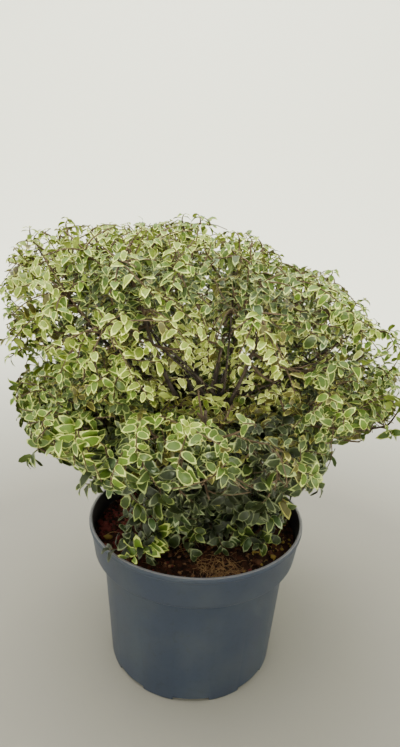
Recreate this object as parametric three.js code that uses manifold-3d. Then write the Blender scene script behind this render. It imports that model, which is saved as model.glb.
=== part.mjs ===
// A variegated pittosporum: a small, dense, broad-headed shrub standing in a round nursery pot.
// Millimetres, +Z up, the origin at the centre of the pot's flat underside, the front towards -Y.
// The plant grows by one rule from named sizes: a short trunk, boughs that leave it at many heights,
// and a ball of leafy twigs at the end of every bough. Each ball keeps to a space of its own.

import * as THREE from "three";
import { mergeVertices } from "three/addons/utils/BufferGeometryUtils.js";
import Module from "manifold-3d";

// Gap left between pieces that meet.
const GAP = 0.35;
const GOLDEN_ANGLE = Math.PI * (3 - Math.sqrt(5));
const TURN = Math.PI * 2;

// Pot: a thin moulded shell, a plain tapering body under a wider collar.
const POT_HEIGHT = 196;
const POT_BASE_RADIUS = 106.5;
const POT_BODY_TOP_RADIUS = 117.5;
const POT_STEP_HEIGHT = 150;
const POT_STEP_RISE = 3.5;
const POT_COLLAR_RADIUS = 128.5;
const POT_RIM_RADIUS = 133.6;
const POT_LIP_OUT = 1.6;
const POT_LIP_HEIGHT = 7;
const POT_WALL = 2.4;
const POT_FLOOR = 6;
const POT_EDGE_ROUND = 1.8;
const POT_SEGMENTS = 40;

// Shallow drainage notches in the foot of the pot.
const NOTCH_COUNT = 8;
const NOTCH_WIDTH = 44;
const NOTCH_DEPTH = 9;
const NOTCH_HEIGHT = 5;
const NOTCH_TURN = THREE.MathUtils.degToRad(-89);

// Compost, filled to a finger's width under the rim and mounded a little round the trunk.
const SOIL_EDGE_HEIGHT = 173;
const SOIL_CROWN_HEIGHT = 178;
const SOIL_SEAT_RADIUS = 26;
const SOIL_CLEARANCE = 0.9;
const SOIL_LUMP = 1.6;
const SOIL_RINGS = 4;
const SOIL_SEGMENTS = 32;

// Trunk: short, hidden by the skirt of leaves, flaring into the compost and leaning a little.
const TRUNK_FOOT = new THREE.Vector3(2, 6, SOIL_CROWN_HEIGHT + GAP);
const TRUNK_KNEE = new THREE.Vector3(-8, 3, 262);
const TRUNK_TOP = new THREE.Vector3(10, -8, 352);
const TRUNK_FOOT_RADIUS = 8.2;
const TRUNK_TOP_RADIUS = 4.6;
const TRUNK_FLARE = 0.75;
const TRUNK_FLARE_FADE = 9;
const TRUNK_SIDES = 8;
const TRUNK_RINGS = 10;

// Boughs: one tapering limb to each ball of leaves.
const BOUGH_FOOT_RADIUS = 3.9;
const BOUGH_TIP_RADIUS = 2.1;
const BOUGH_SIDES = 5;
const BOUGH_RINGS = 6;
const BOUGH_ENTRY = 0.72;
const SHOOT_FOOT_RADIUS = 2.4;
const SHOOT_TIP_RADIUS = 1.5;

// Crown: rings of leafy balls. The head leans up to the left of the front and falls to the right.
const CROWN_RINGS = [
  {
    name: "skirt",
    count: 8,
    turn: 180,
    spread: 150,
    spreadSway: 2,
    height: 332,
    heightSway: 10,
    frontLift: 16,
    ball: 98,
    leaves: 26,
    boughFrom: 0.15,
    boughTo: 0.5,
    boughLift: 0.6,
  },
  {
    name: "shoulder",
    count: 6,
    turn: 180,
    spread: 130,
    spreadSway: -22,
    height: 464,
    heightSway: -15,
    frontLift: 0,
    ball: 98,
    leaves: 27,
    boughFrom: 0.56,
    boughTo: 0.84,
    boughLift: 0.36,
  },
];

// The two balls at the very top, by place and size.
const CROWN_TOPS = [
  { name: "top_left", x: -44, y: 22, z: 492, ball: 90, leaves: 24, boughAt: 0.93, boughLift: 0.35 },
  { name: "top_right", x: 26, y: -26, z: 466, ball: 92, leaves: 24, boughAt: 1, boughLift: 0.5 },
];

// No leaf of the crown hangs lower than a level floor, which tips up in front of the trunk.
const CROWN_FLOOR = 243;
const CROWN_FLOOR_RISE = 0.4;
const CROWN_FLOOR_HINGE = 45;

// Low sprays that rise from the foot of the trunk, by place and size.
const BASAL_SPRAYS = [
  { name: "low_front_left", x: -66, y: -84, z: 212, ball: 32, leaves: 5, boughAt: 0.1 },
  { name: "low_front", x: -22, y: -62, z: 214, ball: 28, leaves: 4, boughAt: 0.06 },
  { name: "low_right", x: 70, y: -46, z: 212, ball: 32, leaves: 5, boughAt: 0.08 },
  { name: "low_back", x: 20, y: 78, z: 212, ball: 32, leaves: 5, boughAt: 0.12 },
];

// Twigs: three-sided, set round the stem by the golden angle and bending towards the light.
const STEM_STEPS = 3;
const STEM_LIFT = 0.3;
const STEM_BEND = 0.3;
const STEM_TAPER = 0.9;
const STEM_TIP_RADIUS = 1.5;
const TWIG_FOOT_RADIUS = 1.9;
const TWIG_TIP_RADIUS = 1.3;
const TWIG_SIDES = 3;
const TWIG_COUNT = 9;
const SPRAY_TWIG_COUNT = 3;
const TWIG_OPEN_FOOT = 100;
const TWIG_OPEN_TIP = 34;
const TWIG_OPEN_SWAY = 9;
const TWIG_BEND_AT = 0.55;
const TWIG_LIGHT_BEND = 0.1;
const REACH_STEP = 3;
const WALL_MARGIN = 0.3;

// Lengths below are shares of the leaf's own length.
const STEM_END_MARGIN = 0.85;
const TWIG_END_MARGIN = 0.66;
const TWIG_SHORTEST = 0.3;
const LEAF_STEP = 0.24;
const LEAF_APART = 0.42;

// Heart of a ball: the small dense middle that twigs and leaves stand out of.
const HEART_SHARE = 0.36;
const HEART_INWARD = 0.2;
const HEART_SHRINK = 0.92;
const HEART_SQUASH = 0.86;

// Leaves: each solid leaf stands for a cluster of the small real ones.
const LEAF_LENGTH = 57;
const SPRAY_LEAF_LENGTH = 24;
const LEAF_LENGTH_LEAST = 0.84;
const LEAF_LENGTH_MOST = 1.08;
const LEAF_WIDTH = 0.74;
const LEAF_THICKNESS = 0.045;
const LEAF_LOWER_WIDE = 0.36;
const LEAF_UPPER_WIDE = 0.72;
const LEAF_SHOULDER = 0.86;
const LEAF_BELLY = 0.52;
const LEAF_SINK = 0.4;
const LEAF_SPREAD = 0.92;
const LEAF_TRIES = 8;
const LEAF_LIGHT = 0.45;
const LEAF_FACE_SWAY = 0.35;
const LEAF_ROUNDS = 6;
const LEAF_OUTLINE = 6;
const LIMB_CLEARANCE = 0.8;
const TWIG_CLEARANCE = 0.6;
const SPACE_CLEARANCE = 0.5;

const MATERIALS = {
  pot: { color: "#464d55", roughness: 0.55, metalness: 0 },
  soil: { color: "#2d1b16", roughness: 1, metalness: 0 },
  bark: { color: "#3a322a", roughness: 0.9, metalness: 0 },
  leaf: { color: "#8fa25c", roughness: 0.6, metalness: 0 },
};

const wasm = await Module();
wasm.setup();

// Numbers between 0 and 1 that are the same on every run.
function seededNumbers(seed) {
  let state = seed >>> 0;
  return () => {
    state = (state + 0x6d2b79f5) >>> 0;
    let mixed = state;
    mixed = Math.imul(mixed ^ (mixed >>> 15), mixed | 1);
    mixed ^= mixed + Math.imul(mixed ^ (mixed >>> 7), mixed | 61);
    return ((mixed ^ (mixed >>> 14)) >>> 0) / 4294967296;
  };
}

function lerp(from, to, share) {
  return from + (to - from) * share;
}

function vector(x, y, z) {
  return new THREE.Vector3(x, y, z);
}

// Any unit vector square to the given one.
function squareTo(direction) {
  const helper = Math.abs(direction.z) < 0.9 ? vector(0, 0, 1) : vector(1, 0, 0);
  return helper.cross(direction).normalize();
}

function bezier(from, control, to, share) {
  const rest = 1 - share;
  return from.clone().multiplyScalar(rest * rest)
    .addScaledVector(control, 2 * rest * share)
    .addScaledVector(to, share * share);
}

// A closed surface from rings of points and flat end caps.
function ringsGeometry(rings) {
  const sides = rings[0].length;
  const positions = [];
  const indices = [];
  for (const ring of rings) {
    for (const point of ring) {
      positions.push(point.x, point.y, point.z);
    }
  }
  for (let level = 0; level < rings.length - 1; level += 1) {
    for (let side = 0; side < sides; side += 1) {
      const a = level * sides + side;
      const b = level * sides + ((side + 1) % sides);
      indices.push(a, b, b + sides, a, b + sides, a + sides);
    }
  }
  const last = (rings.length - 1) * sides;
  for (let side = 1; side < sides - 1; side += 1) {
    indices.push(0, side + 1, side);
    indices.push(last, last + side, last + side + 1);
  }
  const geometry = new THREE.BufferGeometry();
  geometry.setAttribute("position", new THREE.Float32BufferAttribute(positions, 3));
  geometry.setIndex(indices);
  return geometry;
}

// Rings of a limb that follows the path, each square to it, without twist.
function limbRings(path, radii, sides) {
  const rings = [];
  let across = null;
  for (let step = 0; step < path.length; step += 1) {
    const before = path[Math.max(step - 1, 0)];
    const after = path[Math.min(step + 1, path.length - 1)];
    const along = after.clone().sub(before).normalize();
    across = across === null ? squareTo(along) : across.clone();
    across.addScaledVector(along, -across.dot(along)).normalize();
    const other = along.clone().cross(across);
    const ring = [];
    for (let side = 0; side < sides; side += 1) {
      const angle = (side / sides) * TURN;
      ring.push(
        path[step].clone()
          .addScaledVector(across, Math.cos(angle) * radii[step])
          .addScaledVector(other, Math.sin(angle) * radii[step]),
      );
    }
    rings.push(ring);
  }
  return rings;
}

function limbGeometry(path, radii, sides) {
  return ringsGeometry(limbRings(path, radii, sides));
}

function toSolid(geometry) {
  const bare = geometry.clone();
  bare.deleteAttribute("normal");
  bare.deleteAttribute("uv");
  const merged = mergeVertices(bare, 1e-4);
  return new wasm.Manifold(new wasm.Mesh({
    numProp: 3,
    vertProperties: new Float32Array(merged.attributes.position.array),
    triVerts: new Uint32Array(merged.index.array),
  }));
}

function toGeometry(solid) {
  const mesh = solid.getMesh();
  const positions = new Float32Array(mesh.numVert * 3);
  for (let index = 0; index < mesh.numVert; index += 1) {
    positions[index * 3] = mesh.vertProperties[index * mesh.numProp];
    positions[index * 3 + 1] = mesh.vertProperties[index * mesh.numProp + 1];
    positions[index * 3 + 2] = mesh.vertProperties[index * mesh.numProp + 2];
  }
  const geometry = new THREE.BufferGeometry();
  geometry.setAttribute("position", new THREE.BufferAttribute(positions, 3));
  geometry.setIndex(new THREE.BufferAttribute(new Uint32Array(mesh.triVerts), 1));
  geometry.computeVertexNormals();
  return geometry;
}

// The largest connected body of a solid: scraps and sealed hollows fall away.
function largestBody(solid) {
  const bodies = solid.decompose();
  bodies.sort((a, b) => b.volume() - a.volume());
  return bodies[0];
}

// Pot

function potProfile() {
  const insideStep = POT_STEP_HEIGHT + POT_STEP_RISE;
  const lipFoot = POT_HEIGHT - POT_LIP_HEIGHT;
  const floorInside = POT_BASE_RADIUS - POT_WALL - POT_EDGE_ROUND;
  return [
    [0, 0],
    [POT_BASE_RADIUS - POT_EDGE_ROUND, 0],
    [POT_BASE_RADIUS, POT_EDGE_ROUND],
    [POT_BODY_TOP_RADIUS, POT_STEP_HEIGHT],
    [POT_COLLAR_RADIUS, insideStep],
    [POT_RIM_RADIUS, lipFoot],
    [POT_RIM_RADIUS + POT_LIP_OUT, lipFoot + POT_EDGE_ROUND],
    [POT_RIM_RADIUS + POT_LIP_OUT, POT_HEIGHT - POT_EDGE_ROUND],
    [POT_RIM_RADIUS, POT_HEIGHT],
    [POT_RIM_RADIUS - POT_EDGE_ROUND, POT_HEIGHT],
    [POT_RIM_RADIUS - POT_WALL, POT_HEIGHT - POT_EDGE_ROUND],
    [POT_COLLAR_RADIUS - POT_WALL, insideStep + POT_EDGE_ROUND],
    [POT_BODY_TOP_RADIUS - POT_WALL, POT_STEP_HEIGHT - POT_EDGE_ROUND],
    [floorInside + POT_EDGE_ROUND, POT_FLOOR + POT_EDGE_ROUND],
    [floorInside, POT_FLOOR],
    [0, POT_FLOOR],
  ];
}

function buildPot() {
  const points = potProfile().map(([radius, height]) => new THREE.Vector2(radius, height));
  const lathe = new THREE.LatheGeometry(points, POT_SEGMENTS);
  lathe.rotateX(Math.PI / 2);
  let pot = toSolid(lathe);
  for (let index = 0; index < NOTCH_COUNT; index += 1) {
    const angle = NOTCH_TURN + (index / NOTCH_COUNT) * TURN;
    const notch = new THREE.BoxGeometry(NOTCH_DEPTH * 2, NOTCH_WIDTH, NOTCH_HEIGHT * 2);
    notch.translate(POT_BASE_RADIUS, 0, 0);
    notch.rotateZ(angle);
    pot = pot.subtract(toSolid(notch));
  }
  return toGeometry(largestBody(pot));
}

// Compost

function soilHeight(radius, angle) {
  if (radius <= SOIL_SEAT_RADIUS) {
    return SOIL_CROWN_HEIGHT;
  }
  const edge = POT_COLLAR_RADIUS;
  const share = (radius - SOIL_SEAT_RADIUS) / (edge - SOIL_SEAT_RADIUS);
  const lumps = Math.sin(angle * 3 + radius * 0.09) + Math.sin(angle * 7 - radius * 0.13);
  return lerp(SOIL_CROWN_HEIGHT, SOIL_EDGE_HEIGHT, share) + (SOIL_LUMP / 2) * lumps * Math.min(share * 3, 1);
}

// Inner radius of the pot at a height, on the sloping walls of body and collar.
function potInside(height) {
  const insideStep = POT_STEP_HEIGHT + POT_STEP_RISE + POT_EDGE_ROUND;
  if (height >= insideStep) {
    const share = (height - insideStep) / (POT_HEIGHT - POT_EDGE_ROUND - insideStep);
    return lerp(POT_COLLAR_RADIUS, POT_RIM_RADIUS, share) - POT_WALL;
  }
  const foot = POT_FLOOR + POT_EDGE_ROUND;
  const share = (height - foot) / (POT_STEP_HEIGHT - POT_EDGE_ROUND - foot);
  return lerp(POT_BASE_RADIUS, POT_BODY_TOP_RADIUS, share) - POT_WALL;
}

function buildSoil() {
  const ring = (radius, heightAt) => {
    const points = [];
    for (let side = 0; side < SOIL_SEGMENTS; side += 1) {
      const angle = (side / SOIL_SEGMENTS) * TURN;
      points.push(vector(radius * Math.cos(angle), radius * Math.sin(angle), heightAt(angle)));
    }
    return points;
  };
  const flat = (height) => () => height;
  const bottom = POT_FLOOR + SOIL_CLEARANCE;
  const belowStep = POT_STEP_HEIGHT - POT_EDGE_ROUND + SOIL_CLEARANCE * 1.5;
  const aboveStep = POT_STEP_HEIGHT + POT_STEP_RISE + POT_EDGE_ROUND + SOIL_CLEARANCE;
  const bevel = POT_EDGE_ROUND * 2;
  const clearAt = (height) => potInside(height) - SOIL_CLEARANCE;
  const edgeRadius = clearAt(SOIL_EDGE_HEIGHT - SOIL_LUMP);
  const rings = [
    ring(clearAt(bottom) - bevel, flat(bottom)),
    ring(clearAt(bottom + bevel), flat(bottom + bevel)),
    ring(clearAt(belowStep), flat(belowStep)),
    ring(clearAt(aboveStep), flat(aboveStep)),
  ];
  for (let index = 0; index <= SOIL_RINGS; index += 1) {
    const radius = lerp(edgeRadius, SOIL_SEAT_RADIUS, index / SOIL_RINGS);
    rings.push(ring(radius, (angle) => soilHeight(radius, angle)));
  }
  return toGeometry(largestBody(toSolid(ringsGeometry(rings))));
}

// Limbs

function trunkPoint(share) {
  return bezier(TRUNK_FOOT, TRUNK_KNEE, TRUNK_TOP, share);
}

function trunkRadius(share) {
  const flare = 1 + TRUNK_FLARE * Math.exp(-share * TRUNK_FLARE_FADE);
  return lerp(TRUNK_FOOT_RADIUS, TRUNK_TOP_RADIUS, share) * flare;
}

function trunkGeometry(extra) {
  const path = [];
  const radii = [];
  for (let step = 0; step < TRUNK_RINGS; step += 1) {
    const share = step / (TRUNK_RINGS - 1);
    path.push(trunkPoint(share));
    radii.push(trunkRadius(share) + extra);
  }
  const rings = limbRings(path, radii, TRUNK_SIDES);
  for (const point of rings[0]) {
    point.z = TRUNK_FOOT.z - extra;
  }
  const heading = path[TRUNK_RINGS - 1].clone().sub(path[TRUNK_RINGS - 2]).normalize();
  for (const point of rings[TRUNK_RINGS - 1]) {
    point.addScaledVector(heading, extra);
  }
  return ringsGeometry(rings);
}

// Every ball of leaves: its centre, its size, and where its bough leaves the trunk.
function planBalls() {
  const balls = [];
  for (const ring of CROWN_RINGS) {
    for (let index = 0; index < ring.count; index += 1) {
      const angle = THREE.MathUtils.degToRad(ring.turn) + (index / ring.count) * TURN;
      const spread = ring.spread + ring.spreadSway * Math.cos(angle);
      const height = ring.height + ring.heightSway * Math.cos(angle) - ring.frontLift * Math.sin(angle);
      const order = Math.floor(index / 2) + (index % 2) * (ring.count / 2);
      balls.push({
        name: `${ring.name}_${index + 1}`,
        centre: vector(spread * Math.cos(angle), spread * Math.sin(angle), height),
        radius: ring.ball,
        leaves: ring.leaves,
        boughAt: lerp(ring.boughFrom, ring.boughTo, order / (ring.count - 1)),
        boughLift: ring.boughLift,
        leafLength: LEAF_LENGTH,
        basal: false,
      });
    }
  }
  for (const top of CROWN_TOPS) {
    balls.push({
      name: top.name,
      centre: vector(top.x, top.y, top.z),
      radius: top.ball,
      leaves: top.leaves,
      boughAt: top.boughAt,
      boughLift: top.boughLift,
      leafLength: LEAF_LENGTH,
      basal: false,
    });
  }
  for (const spray of BASAL_SPRAYS) {
    balls.push({
      name: spray.name,
      centre: vector(spray.x, spray.y, spray.z),
      radius: spray.ball,
      leaves: spray.leaves,
      boughAt: spray.boughAt,
      boughLift: 0.5,
      leafLength: SPRAY_LEAF_LENGTH,
      basal: true,
    });
  }
  balls.forEach((ball, index) => {
    ball.seed = 101 + index * 37;
    ball.bough = planBough(ball);
  });
  return balls;
}

// The bough of a ball: from the trunk's axis to a tip just inside the ball.
function planBough(ball) {
  const from = trunkPoint(ball.boughAt);
  const inward = from.clone().sub(ball.centre).normalize();
  const to = ball.centre.clone().addScaledVector(inward, ball.radius * BOUGH_ENTRY);
  const control = from.clone().lerp(to, 0.5);
  control.z = lerp(from.z, to.z, ball.boughLift);
  const footRadius = ball.basal ? SHOOT_FOOT_RADIUS : BOUGH_FOOT_RADIUS;
  const tipRadius = ball.basal ? SHOOT_TIP_RADIUS : BOUGH_TIP_RADIUS;
  const path = [];
  const radii = [];
  for (let step = 0; step < BOUGH_RINGS; step += 1) {
    const share = step / (BOUGH_RINGS - 1);
    path.push(bezier(from, control, to, share));
    radii.push(lerp(footRadius, tipRadius, share));
  }
  const tip = path[path.length - 1];
  const heading = tip.clone().sub(path[path.length - 2]).normalize();
  return { path, radii, tip, heading, tipRadius };
}

// Foliage

// The flat faces that part a ball's space from the balls around it and from the ground under it.
function spaceWalls(ball, balls) {
  const walls = [];
  for (const other of balls) {
    const between = other.centre.clone().sub(ball.centre);
    const apart = between.length();
    if (other === ball || apart > ball.radius + other.radius) {
      continue;
    }
    const reach = (apart * apart + ball.radius ** 2 - other.radius ** 2) / (2 * apart);
    const normal = between.divideScalar(apart);
    walls.push({ normal, limit: normal.dot(ball.centre) + reach - SPACE_CLEARANCE });
  }
  if (!ball.basal) {
    const tipped = vector(0, -CROWN_FLOOR_RISE, -1).normalize();
    const hinge = vector(0, -CROWN_FLOOR_HINGE, CROWN_FLOOR);
    walls.push({ normal: vector(0, 0, -1), limit: -CROWN_FLOOR });
    walls.push({ normal: tipped, limit: tipped.dot(hinge) });
  }
  return walls;
}

// Inside the ball by the margin, and off the faces it shares with its neighbours by a part of it.
function insideSpace(point, ball, walls, margin) {
  if (point.distanceTo(ball.centre) > ball.radius - margin) {
    return false;
  }
  return walls.every((wall) => wall.normal.dot(point) < wall.limit - margin * WALL_MARGIN);
}

// Shortest distance between two straight pieces.
function segmentDistance(a, b, c, d) {
  const u = b.clone().sub(a);
  const v = d.clone().sub(c);
  const w = a.clone().sub(c);
  const uu = u.dot(u);
  const uv = u.dot(v);
  const vv = v.dot(v);
  const uw = u.dot(w);
  const vw = v.dot(w);
  const spread = uu * vv - uv * uv;
  let s = spread < 1e-9 ? 0 : THREE.MathUtils.clamp((uv * vw - vv * uw) / spread, 0, 1);
  const t = THREE.MathUtils.clamp((uv * s + vw) / vv, 0, 1);
  s = THREE.MathUtils.clamp((uv * t - uw) / uu, 0, 1);
  const near = a.clone().addScaledVector(u, s);
  return near.distanceTo(c.clone().addScaledVector(v, t));
}

function clearOfLimbs(from, to, reach, limbs) {
  return limbs.every((limb) => segmentDistance(from, to, limb.a, limb.b) > limb.radius + reach);
}

// Whether a straight piece passes through a three-cornered face.
function crossesFace(from, to, a, b, c) {
  const ray = new THREE.Ray(from.clone(), to.clone().sub(from).normalize());
  const hit = ray.intersectTriangle(a, b, c, false, vector(0, 0, 0));
  return hit !== null && hit.distanceTo(from) < to.distanceTo(from);
}

function crossesLeaf(from, to, leaf) {
  const { corners } = leaf;
  for (let edge = 1; edge < LEAF_OUTLINE - 1; edge += 1) {
    if (crossesFace(from, to, corners[0], corners[edge], corners[edge + 1])) {
      return true;
    }
  }
  return false;
}

function leafEdges(leaf) {
  const edges = [];
  for (let edge = 0; edge < LEAF_OUTLINE; edge += 1) {
    edges.push([leaf.corners[edge], leaf.corners[(edge + 1) % LEAF_OUTLINE]]);
  }
  return edges;
}

function leavesCross(one, other) {
  return leafEdges(one).some(([from, to]) => crossesLeaf(from, to, other))
    || leafEdges(other).some(([from, to]) => crossesLeaf(from, to, one));
}

// Whether a leaf is free of the twigs round it: its own twig may only meet it at the root.
function leafFreeOfTwigs(leaf, twigs, own) {
  const edges = leafEdges(leaf);
  return twigs.every((twig) => {
    const tested = twig === own ? edges.slice(1, -1) : edges;
    return twig.path.slice(1).every((to, index) => {
      const piece = { a: twig.path[index], b: to, radius: twig.radii[index] };
      const crossed = twig !== own && crossesLeaf(piece.a, piece.b, leaf);
      return !crossed && tested.every(([one, other]) => clearOfLimbs(one, other, TWIG_CLEARANCE, [piece]));
    });
  });
}

// All limbs as straight pieces with a radius, for keeping leaves off them.
function limbPieces(balls) {
  const pieces = [];
  for (let step = 0; step < TRUNK_RINGS - 1; step += 1) {
    const share = step / (TRUNK_RINGS - 1);
    const next = (step + 1) / (TRUNK_RINGS - 1);
    pieces.push({ a: trunkPoint(share), b: trunkPoint(next), radius: trunkRadius(share), owner: "trunk" });
  }
  for (const ball of balls) {
    const { path, radii } = ball.bough;
    for (let step = 0; step < path.length - 1; step += 1) {
      pieces.push({ a: path[step], b: path[step + 1], radius: radii[step], owner: ball.name });
    }
  }
  return pieces;
}

// A leaf with its root at the given point: a six-cornered outline, thickest in the middle.
function leafCorners(root, along, face, length) {
  const side = along.clone().cross(face).normalize();
  const at = (run, across, lift) => root.clone()
    .addScaledVector(along, length * run)
    .addScaledVector(side, length * LEAF_WIDTH * 0.5 * across)
    .addScaledVector(face, length * LEAF_THICKNESS * 0.5 * lift);
  return [
    at(0, 0, 0),
    at(LEAF_LOWER_WIDE, 1, 0),
    at(LEAF_UPPER_WIDE, LEAF_SHOULDER, 0),
    at(1, 0, 0),
    at(LEAF_UPPER_WIDE, -LEAF_SHOULDER, 0),
    at(LEAF_LOWER_WIDE, -1, 0),
    at(LEAF_BELLY, 0, 1),
    at(LEAF_BELLY, 0, -1),
  ];
}

function leafGeometry(corners) {
  const positions = [];
  const indices = [];
  for (const corner of corners) {
    positions.push(corner.x, corner.y, corner.z);
  }
  for (let edge = 0; edge < LEAF_OUTLINE; edge += 1) {
    const next = (edge + 1) % LEAF_OUTLINE;
    indices.push(edge, next, LEAF_OUTLINE);
    indices.push(next, edge, LEAF_OUTLINE + 1);
  }
  const geometry = new THREE.BufferGeometry();
  geometry.setAttribute("position", new THREE.Float32BufferAttribute(positions, 3));
  geometry.setIndex(indices);
  return geometry;
}

// How far a straight twig can run and still end well inside the space of its ball.
function freeReach(from, heading, ball, walls, margin) {
  let reach = 0;
  for (let run = REACH_STEP; run < ball.radius * 2; run += REACH_STEP) {
    if (insideSpace(from.clone().addScaledVector(heading, run), ball, walls, margin)) {
      reach = run;
    } else if (reach > 0) {
      break;
    }
  }
  return reach;
}

// The stem of a ball: on from the bough's tip, bending up towards the far side of the ball.
function growStem(ball, walls) {
  const { tip, heading, tipRadius } = ball.bough;
  const from = tip.clone().addScaledVector(heading, GAP);
  const aim = ball.centre.clone().sub(from);
  aim.z += ball.radius * STEM_LIFT;
  aim.normalize();
  const length = freeReach(from, aim, ball, walls, ball.leafLength * STEM_END_MARGIN);
  const bend = from.clone().addScaledVector(heading, length * STEM_BEND);
  const to = from.clone().addScaledVector(aim, length);
  const path = [];
  const radii = [];
  for (let step = 0; step <= STEM_STEPS; step += 1) {
    path.push(bezier(from, bend, to, step / STEM_STEPS));
    radii.push(lerp(tipRadius * STEM_TAPER, STEM_TIP_RADIUS, step / STEM_STEPS));
  }
  return { path, radii, sides: TWIG_SIDES + 1 };
}

// The twigs of a ball: set round its stem by the golden angle, wide open at its foot, close at its tip.
function growTwigs(ball, walls, limbs, stem, random) {
  const others = limbs.filter((limb) => limb.owner !== ball.name);
  const thick = TWIG_FOOT_RADIUS + LIMB_CLEARANCE;
  const count = ball.basal ? SPRAY_TWIG_COUNT : TWIG_COUNT;
  const spin = random() * TURN;
  const twigs = [];
  for (let index = 0; index < count; index += 1) {
    const share = (index + 0.5) / count;
    const level = Math.min(Math.floor(share * STEM_STEPS), STEM_STEPS - 1);
    const from = stem.path[level].clone().lerp(stem.path[level + 1], share * STEM_STEPS - level);
    const along = stem.path[level + 1].clone().sub(stem.path[level]).normalize();
    const turned = squareTo(along).applyAxisAngle(along, spin + index * GOLDEN_ANGLE);
    const sway = lerp(-TWIG_OPEN_SWAY, TWIG_OPEN_SWAY, random());
    const open = THREE.MathUtils.degToRad(lerp(TWIG_OPEN_FOOT, TWIG_OPEN_TIP, share) + sway);
    const heading = along.clone().multiplyScalar(Math.cos(open)).addScaledVector(turned, Math.sin(open));
    const reach = freeReach(from, heading, ball, walls, ball.leafLength * TWIG_END_MARGIN);
    if (reach < ball.leafLength * TWIG_SHORTEST) {
      continue;
    }
    const middle = from.clone().addScaledVector(heading, reach * TWIG_BEND_AT);
    const tip = from.clone().addScaledVector(heading, reach);
    tip.z += reach * TWIG_LIGHT_BEND;
    const fits = insideSpace(tip, ball, walls, TWIG_FOOT_RADIUS)
      && insideSpace(middle, ball, walls, TWIG_FOOT_RADIUS)
      && clearOfLimbs(from, middle, thick, others)
      && clearOfLimbs(middle, tip, thick, limbs);
    if (fits) {
      const bendRadius = lerp(TWIG_FOOT_RADIUS, TWIG_TIP_RADIUS, TWIG_BEND_AT);
      twigs.push({
        path: [from, middle, tip],
        radii: [TWIG_FOOT_RADIUS, bendRadius, TWIG_TIP_RADIUS],
        sides: TWIG_SIDES,
        reach,
        turn: random() * TURN,
      });
    }
  }
  return twigs;
}

// One leaf on a twig, at a distance back from its tip, leaning out to one side; null if none fits.
function growLeaf(ball, space, twig, back, turn, leaves, random) {
  const { walls, limbs, heart, twigs, placed } = space;
  const [from, middle, tip] = twig.path.slice(-3);
  const run = Math.max(twig.reach - back, 0);
  const half = twig.reach * TWIG_BEND_AT;
  const outer = run > half;
  const root = outer
    ? middle.clone().lerp(tip, (run - half) / (twig.reach - half))
    : from.clone().lerp(middle, run / half);
  const grain = outer ? tip.clone().sub(middle).normalize() : middle.clone().sub(from).normalize();
  const outward = root.clone().sub(ball.centre).normalize();
  const length = ball.leafLength * lerp(LEAF_LENGTH_LEAST, LEAF_LENGTH_MOST, random());
  const face = outward.clone();
  face.x += lerp(-LEAF_FACE_SWAY, LEAF_FACE_SWAY, random());
  face.y += lerp(-LEAF_FACE_SWAY, LEAF_FACE_SWAY, random());
  face.z += lerp(-LEAF_FACE_SWAY, LEAF_FACE_SWAY, random()) + LEAF_LIGHT;
  for (let attempt = 0; attempt < LEAF_TRIES; attempt += 1) {
    const aside = squareTo(grain).applyAxisAngle(grain, turn + attempt * GOLDEN_ANGLE);
    const along = grain.clone().multiplyScalar(Math.cos(LEAF_SPREAD))
      .addScaledVector(aside, Math.sin(LEAF_SPREAD))
      .normalize();
    const flat = face.clone().addScaledVector(along, -face.dot(along)).normalize();
    const start = root.clone().addScaledVector(along, -LEAF_SINK);
    const corners = leafCorners(start, along, flat, length + LEAF_SINK);
    const centre = corners[LEAF_OUTLINE].clone().lerp(corners[LEAF_OUTLINE + 1], 0.5);
    const leaf = { root, along, face: flat, length, corners };
    const clearance = LIMB_CLEARANCE + (length * LEAF_THICKNESS) / 2;
    const fits = corners.every((corner) => insideSpace(corner, ball, walls, 0))
      && placed.every((other) => other.distanceTo(centre) > ball.leafLength * LEAF_APART)
      && clearOfLimbs(corners[0], corners[LEAF_OUTLINE / 2], clearance, limbs)
      && leafEdges(leaf).every(([one, other]) => clearOfLimbs(one, other, clearance, limbs))
      && corners.slice(1).every((corner) => corner.distanceTo(heart.centre) > heart.radius)
      && leafFreeOfTwigs(leaf, twigs, twig)
      && !leaves.some((other) => leavesCross(leaf, other));
    if (fits) {
      placed.push(centre);
      return leaf;
    }
  }
  return null;
}

// The leaves of a ball: one at every twig's tip, then one further back on each by turns.
function growLeaves(ball, space, random) {
  const stem = space.twigs[0];
  const end = stem.path.slice(-3);
  stem.reach = end[0].distanceTo(end[1]) + end[1].distanceTo(end[2]);
  stem.turn = random() * TURN;
  const leafy = [stem, ...space.twigs.slice(1)];
  const leaves = [];
  for (let round = 0; round < LEAF_ROUNDS; round += 1) {
    for (const twig of leafy) {
      if (leaves.length >= ball.leaves) {
        return leaves;
      }
      const back = round * ball.leafLength * LEAF_STEP;
      const turn = twig.turn + round * GOLDEN_ANGLE;
      const leaf = growLeaf(ball, space, twig, back, turn, leaves, random);
      if (leaf !== null) {
        leaves.push(leaf);
      }
    }
  }
  return leaves;
}

// The dense middle of a ball, set in towards the crown's axis, as large as its space and limbs allow.
function growHeart(ball, walls, limbs) {
  const inward = vector(-ball.centre.x, -ball.centre.y, 0).normalize();
  const centre = ball.centre.clone().addScaledVector(inward, ball.radius * HEART_INWARD);
  const above = centre.clone().add(vector(0, 0, REACH_STEP));
  let radius = ball.basal ? 0 : ball.radius * HEART_SHARE;
  const fits = (size) => walls.every((wall) => wall.normal.dot(centre) + size < wall.limit)
    && clearOfLimbs(centre, above, size, limbs);
  while (radius > 0 && !fits(radius + LIMB_CLEARANCE)) {
    radius *= HEART_SHRINK;
  }
  return { centre, radius };
}

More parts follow.
